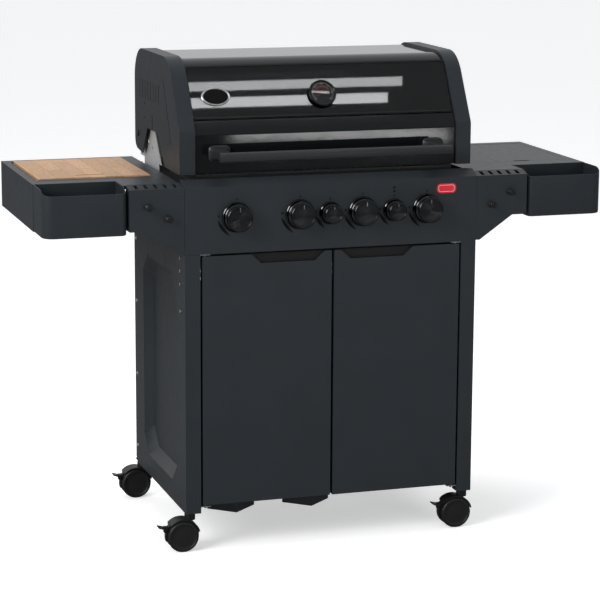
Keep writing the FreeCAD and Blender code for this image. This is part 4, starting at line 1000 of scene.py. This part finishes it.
def build_casters():
    """Twin wheels with dished faces, hub caps and ribbed treads, swivel housings and pedals."""
    ribs = bpy.context.scene.grill_sizes.tread_ribs
    inner = 0.007
    for i in range(1, 5):
        soft_piece(f"caster_housing_{i}", 0.0012, segments=3)
        soft_piece(f"caster_pedal_{i}", 0.0006)
        name = f"caster_wheel_{i}"
        low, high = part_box(name)
        centre = (low + high) / 2
        r, half = (high.z - low.z) / 2, (high.y - low.y) / 2
        bm = lathe(wheel_profile(r, half, inner), centre)
        piece(f"{name}_piece", bm, f"wheel_{i}", "caster_tread", [name], smooth=40)
        spots = []
        for k in range(ribs):
            turn = 2 * math.pi * k / ribs
            for side in (-1, 1):
                where = centre + Vector((math.sin(turn) * r, side * (inner + half) / 2, math.cos(turn) * r))
                if where.z > low.z + 0.0005:
                    spots.append((where, (0, turn, 0)))
        repeated(f"{name}_ribs", rib_mesh(), spots, f"wheel_{i}", "caster_tread")


# ---- stage -------------------------------------------------------------
AZIMUTH, ELEVATION, ROLL = math.radians(-17.74), math.radians(11.52), math.radians(0.31)
CAMERA_DISTANCE, CAMERA_LENS = 5.335, 135.1
AIM = Vector((-0.082, FRONT, 0.599))
# name, place, width, height, watts, seen in reflections
ROOM_LIGHTS = (
    ("key_left", (-4.2, -2.2, 2.9), 2.4, 2.4, 190, True),
    ("fill_front", (1.6, -5.4, 1.3), 3.0, 1.6, 75, False),
    ("top", (0, 0.4, 4.2), 3.2, 2.2, 75, False),
)
# name, lowest and highest z, left and right x of the reflection in the window, glow
WINDOW_STRIPS = (
    ("strip_high", 1.090, 1.109, -0.42, 0.200, 6.5),
    ("strip_low", 1.053, 1.074, -0.42, 0.157, 8.5),
)


def camera_back():
    """Direction from the grill to the camera."""
    flat = math.cos(ELEVATION)
    return Vector((math.sin(AZIMUTH) * flat, -math.cos(AZIMUTH) * flat, math.sin(ELEVATION)))


def add_camera():
    """Camera at the main view; the result is its place."""
    back = camera_back()
    right = Vector((math.cos(AZIMUTH), math.sin(AZIMUTH), 0))
    up = back.cross(right)
    rolled_right = right * math.cos(ROLL) + up * math.sin(ROLL)
    rolled_up = up * math.cos(ROLL) - right * math.sin(ROLL)
    camera = linked("camera", bpy.data.cameras.new("camera"))
    camera.data.lens = CAMERA_LENS
    camera.data.sensor_width = 36
    camera.data.clip_end = 200
    eye = AIM + back * CAMERA_DISTANCE
    rows = [(rolled_right[k], rolled_up[k], back[k], eye[k]) for k in range(3)]
    camera.matrix_world = Matrix([*rows, (0, 0, 0, 1)])
    bpy.context.scene.camera = camera
    return eye


def area_light(name, where, towards, width, height, power, along=None):
    """A rectangular soft light at a place, facing a point."""
    data = bpy.data.lights.new(name, "AREA")
    data.shape = "RECTANGLE"
    data.size, data.size_y = width, height
    data.energy = power
    lamp = linked(name, data)
    back = (Vector(where) - Vector(towards)).normalized()
    side = Vector(along) if along else Vector((0, 0, 1)).cross(back)
    side = (side - back * side.dot(back)).normalized()
    up = back.cross(side)
    lamp.matrix_world = Matrix([(side[k], up[k], back[k], where[k]) for k in range(3)] + [(0, 0, 0, 1)])
    return lamp


def mirrored(eye, point, normal):
    """Place that a surface with this normal mirrors to the eye at a point."""
    view = (eye - point).normalized()
    return point + (normal * (2 * normal.dot(view)) - view) * STRIP_DISTANCE


def strip_in_window(name, eye, z_low, z_high, x_left, x_right, glow):
    """A strip light placed so that the window mirrors it between two heights and two sides."""
    point, normal = slope_frame((z_low + z_high) / 2)
    left, right = (mirrored(eye, Vector((x, point.y, point.z)), normal) for x in (x_left, x_right))
    low, high = (mirrored(eye, slope_frame(z)[0], normal) for z in (z_low, z_high))
    width, height = (right - left).length, (high - low).length
    area_light(name, (left + right) / 2, point, width, height, glow * math.pi * width * height, right - left)


def add_floor():
    """Wide pale floor that is bright to the camera and dark in reflections."""
    bm = bmesh.new()
    corners = ((-1, -1), (1, -1), (1, 1), (-1, 1))
    bm.faces.new([bm.verts.new((x * FLOOR_REACH, y * FLOOR_REACH, 0)) for x, y in corners])
    mesh = bpy.data.meshes.new("floor")
    bm.to_mesh(mesh)
    bm.free()
    floor = linked("floor", mesh)
    made, shader = material("pale_floor", (0.90, 0.90, 0.90), 0.8)
    shader.inputs["Emission Color"].default_value = (1, 1, 1, 1)
    seen = node(made, "ShaderNodeLightPath")
    link(made, spread(made, seen.outputs["Is Camera Ray"], 0.0, 0.45), shader.inputs["Emission Strength"])
    tint(made, shader, seen.outputs["Is Glossy Ray"], (0.90, 0.90, 0.90), (0.16, 0.16, 0.16))
    mesh.materials.append(made)


def add_world():
    """Surroundings that are white to the camera, and dimmer to the front than to the back elsewhere."""
    world = bpy.data.worlds.new("studio")
    bpy.context.scene.world = world
    world.use_nodes = True
    background = world.node_tree.nodes["Background"]
    background.inputs["Color"].default_value = (0.97, 0.98, 1.0, 1)
    coordinates = node(world, "ShaderNodeTexCoord")
    split = node(world, "ShaderNodeSeparateXYZ")
    link(world, coordinates.outputs["Generated"], split.inputs["Vector"])
    ramp = node(world, "ShaderNodeMapRange", interpolation_type="SMOOTHSTEP")
    for socket, value in (("From Min", -0.45), ("From Max", 0.75), ("To Min", 0.32), ("To Max", 0.75)):
        ramp.inputs[socket].default_value = value
    link(world, split.outputs["Y"], ramp.inputs["Value"])
    path = node(world, "ShaderNodeLightPath")
    choose = node(world, "ShaderNodeMix", data_type="FLOAT")
    link(world, path.outputs["Is Camera Ray"], choose.inputs["Factor"])
    link(world, ramp.outputs["Result"], choose.inputs[2])
    choose.inputs[3].default_value = 1.0
    link(world, choose.outputs[0], background.inputs["Strength"])


def build_stage():
    """Pale floor, bright surroundings, soft lights and the camera."""
    eye = add_camera()
    bpy.context.scene.view_settings.view_transform = "Standard"
    add_floor()
    add_world()
    middle = Vector((0, 0, 0.8))
    for name, where, width, height, watts, glossy in ROOM_LIGHTS:
        area_light(name, where, middle, width, height, watts).visible_glossy = glossy
    for name, z_low, z_high, x_left, x_right, glow in WINDOW_STRIPS:
        strip_in_window(name, eye, z_low, z_high, x_left, x_right, glow)
    bend = Vector((0.03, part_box("lid_cap_right")[0].y, 0.986))
    width, height, glow = 0.80, 0.045, 9.0
    where = mirrored(eye, bend, Vector((0, -1, 0)))
    area_light("kink_box", where, bend, width, height, glow * math.pi * width * height)


# ---- operators ---------------------------------------------------------
def run_step(operator, build):
    """Run one build function for an operator, and raise an error if it makes nothing."""
    before = len(bpy.data.objects)
    build()
    if len(bpy.data.objects) <= before:
        raise RuntimeError(f"{operator.bl_label} made no piece")
    return {"FINISHED"}


class GRILL_OT_stage(bpy.types.Operator):
    """Build the floor, lights and camera"""
    bl_idname = "grill.stage"
    bl_label = "Stage"

    def execute(self, context):
        return run_step(self, build_stage)


class GRILL_OT_cabinet(bpy.types.Operator):
    """Build the folded sheet parts of the cart"""
    bl_idname = "grill.cabinet"
    bl_label = "Cabinet"

    def execute(self, context):
        return run_step(self, build_cabinet)


class GRILL_OT_shelves(bpy.types.Operator):
    """Build the shelves, bins and cover"""
    bl_idname = "grill.shelves"
    bl_label = "Shelves"

    def execute(self, context):
        return run_step(self, build_shelves)


class GRILL_OT_fittings(bpy.types.Operator):
    """Build the pins, plates and screw heads"""
    bl_idname = "grill.fittings"
    bl_label = "Fittings"

    def execute(self, context):
        return run_step(self, build_fittings)


class GRILL_OT_pegs(bpy.types.Operator):
    """Build the hook pegs and the pads beside the bins"""
    bl_idname = "grill.pegs"
    bl_label = "Pegs"

    def execute(self, context):
        return run_step(self, build_pegs)


class GRILL_OT_lid(bpy.types.Operator):
    """Build the lid shell and its end caps"""
    bl_idname = "grill.lid"
    bl_label = "Lid"

    def execute(self, context):
        return run_step(self, build_lid)


class GRILL_OT_window(bpy.types.Operator):
    """Build the glass and its seals"""
    bl_idname = "grill.window"
    bl_label = "Window"

    def execute(self, context):
        return run_step(self, build_window)


class GRILL_OT_handle(bpy.types.Operator):
    """Build the lid handle"""
    bl_idname = "grill.handle"
    bl_label = "Handle"

    def execute(self, context):
        return run_step(self, build_handle)


class GRILL_OT_thermometer(bpy.types.Operator):
    """Build the gauge in the window"""
    bl_idname = "grill.thermometer"
    bl_label = "Thermometer"

    def execute(self, context):
        return run_step(self, build_thermometer)


class GRILL_OT_badge(bpy.types.Operator):
    """Build the blank badge"""
    bl_idname = "grill.badge"
    bl_label = "Badge"

    def execute(self, context):
        return run_step(self, build_badge)


class GRILL_OT_knobs(bpy.types.Operator):
    """Build the control knobs"""
    bl_idname = "grill.knobs"
    bl_label = "Knobs"

    def execute(self, context):
        return run_step(self, build_knobs)


class GRILL_OT_bezels(bpy.types.Operator):
    """Build the rings behind the knobs"""
    bl_idname = "grill.bezels"
    bl_label = "Bezels"

    def execute(self, context):
        return run_step(self, build_bezels)


class GRILL_OT_marks(bpy.types.Operator):
    """Build the printed marks and the label"""
    bl_idname = "grill.marks"
    bl_label = "Marks"

    def execute(self, context):
        return run_step(self, build_marks)


class GRILL_OT_scoops(bpy.types.Operator):
    """Build the dark plates of painted shade in the door scoops"""
    bl_idname = "grill.scoops"
    bl_label = "Scoops"

    def execute(self, context):
        return run_step(self, build_scoops)


class GRILL_OT_board(bpy.types.Operator):
    """Build the cutting board"""
    bl_idname = "grill.board"
    bl_label = "Board"

    def execute(self, context):
        return run_step(self, build_board)


class GRILL_OT_cookbox(bpy.types.Operator):
    """Build what is in and under the cookbox"""
    bl_idname = "grill.cookbox"
    bl_label = "Cookbox"

    def execute(self, context):
        return run_step(self, build_cookbox)


class GRILL_OT_ports(bpy.types.Operator):
    """Build the burner ports"""
    bl_idname = "grill.ports"
    bl_label = "Ports"

    def execute(self, context):
        return run_step(self, build_ports)


class GRILL_OT_casters(bpy.types.Operator):
    """Build the casters"""
    bl_idname = "grill.casters"
    bl_label = "Casters"

    def execute(self, context):
        return run_step(self, build_casters)


STEPS = [
    GRILL_OT_stage, GRILL_OT_cabinet, GRILL_OT_shelves, GRILL_OT_fittings, GRILL_OT_pegs, GRILL_OT_lid,
    GRILL_OT_window, GRILL_OT_handle, GRILL_OT_thermometer, GRILL_OT_badge, GRILL_OT_knobs, GRILL_OT_bezels,
    GRILL_OT_marks, GRILL_OT_scoops, GRILL_OT_board, GRILL_OT_cookbox, GRILL_OT_ports, GRILL_OT_casters,
]


class GRILL_PT_panel(bpy.types.Panel):
    """Sidebar panel with the settings and every build step."""
    bl_label = "Gas Barbecue Grill"
    bl_idname = "GRILL_PT_panel"
    bl_space_type = "VIEW_3D"
    bl_region_type = "UI"
    bl_category = "Grill"

    def draw(self, context):
        for group in (context.scene.grill_sizes, context.scene.grill_colours):
            for key in group.__annotations__:
                self.layout.prop(group, key)
        for step in STEPS:
            self.layout.operator(step.bl_idname)


CLASSES = [GrillSizes, GrillColours, *STEPS, GRILL_PT_panel]


def register():
    for item in CLASSES:
        bpy.utils.register_class(item)
    bpy.types.Scene.grill_sizes = PointerProperty(type=GrillSizes)
    bpy.types.Scene.grill_colours = PointerProperty(type=GrillColours)


def unregister():
    del bpy.types.Scene.grill_sizes
    del bpy.types.Scene.grill_colours
    for item in reversed(CLASSES):
        bpy.utils.unregister_class(item)


def main():
    register()
    for step in STEPS:
        getattr(bpy.ops.grill, step.bl_idname.split(".")[1])()


if __name__ == "__main__":
    main()
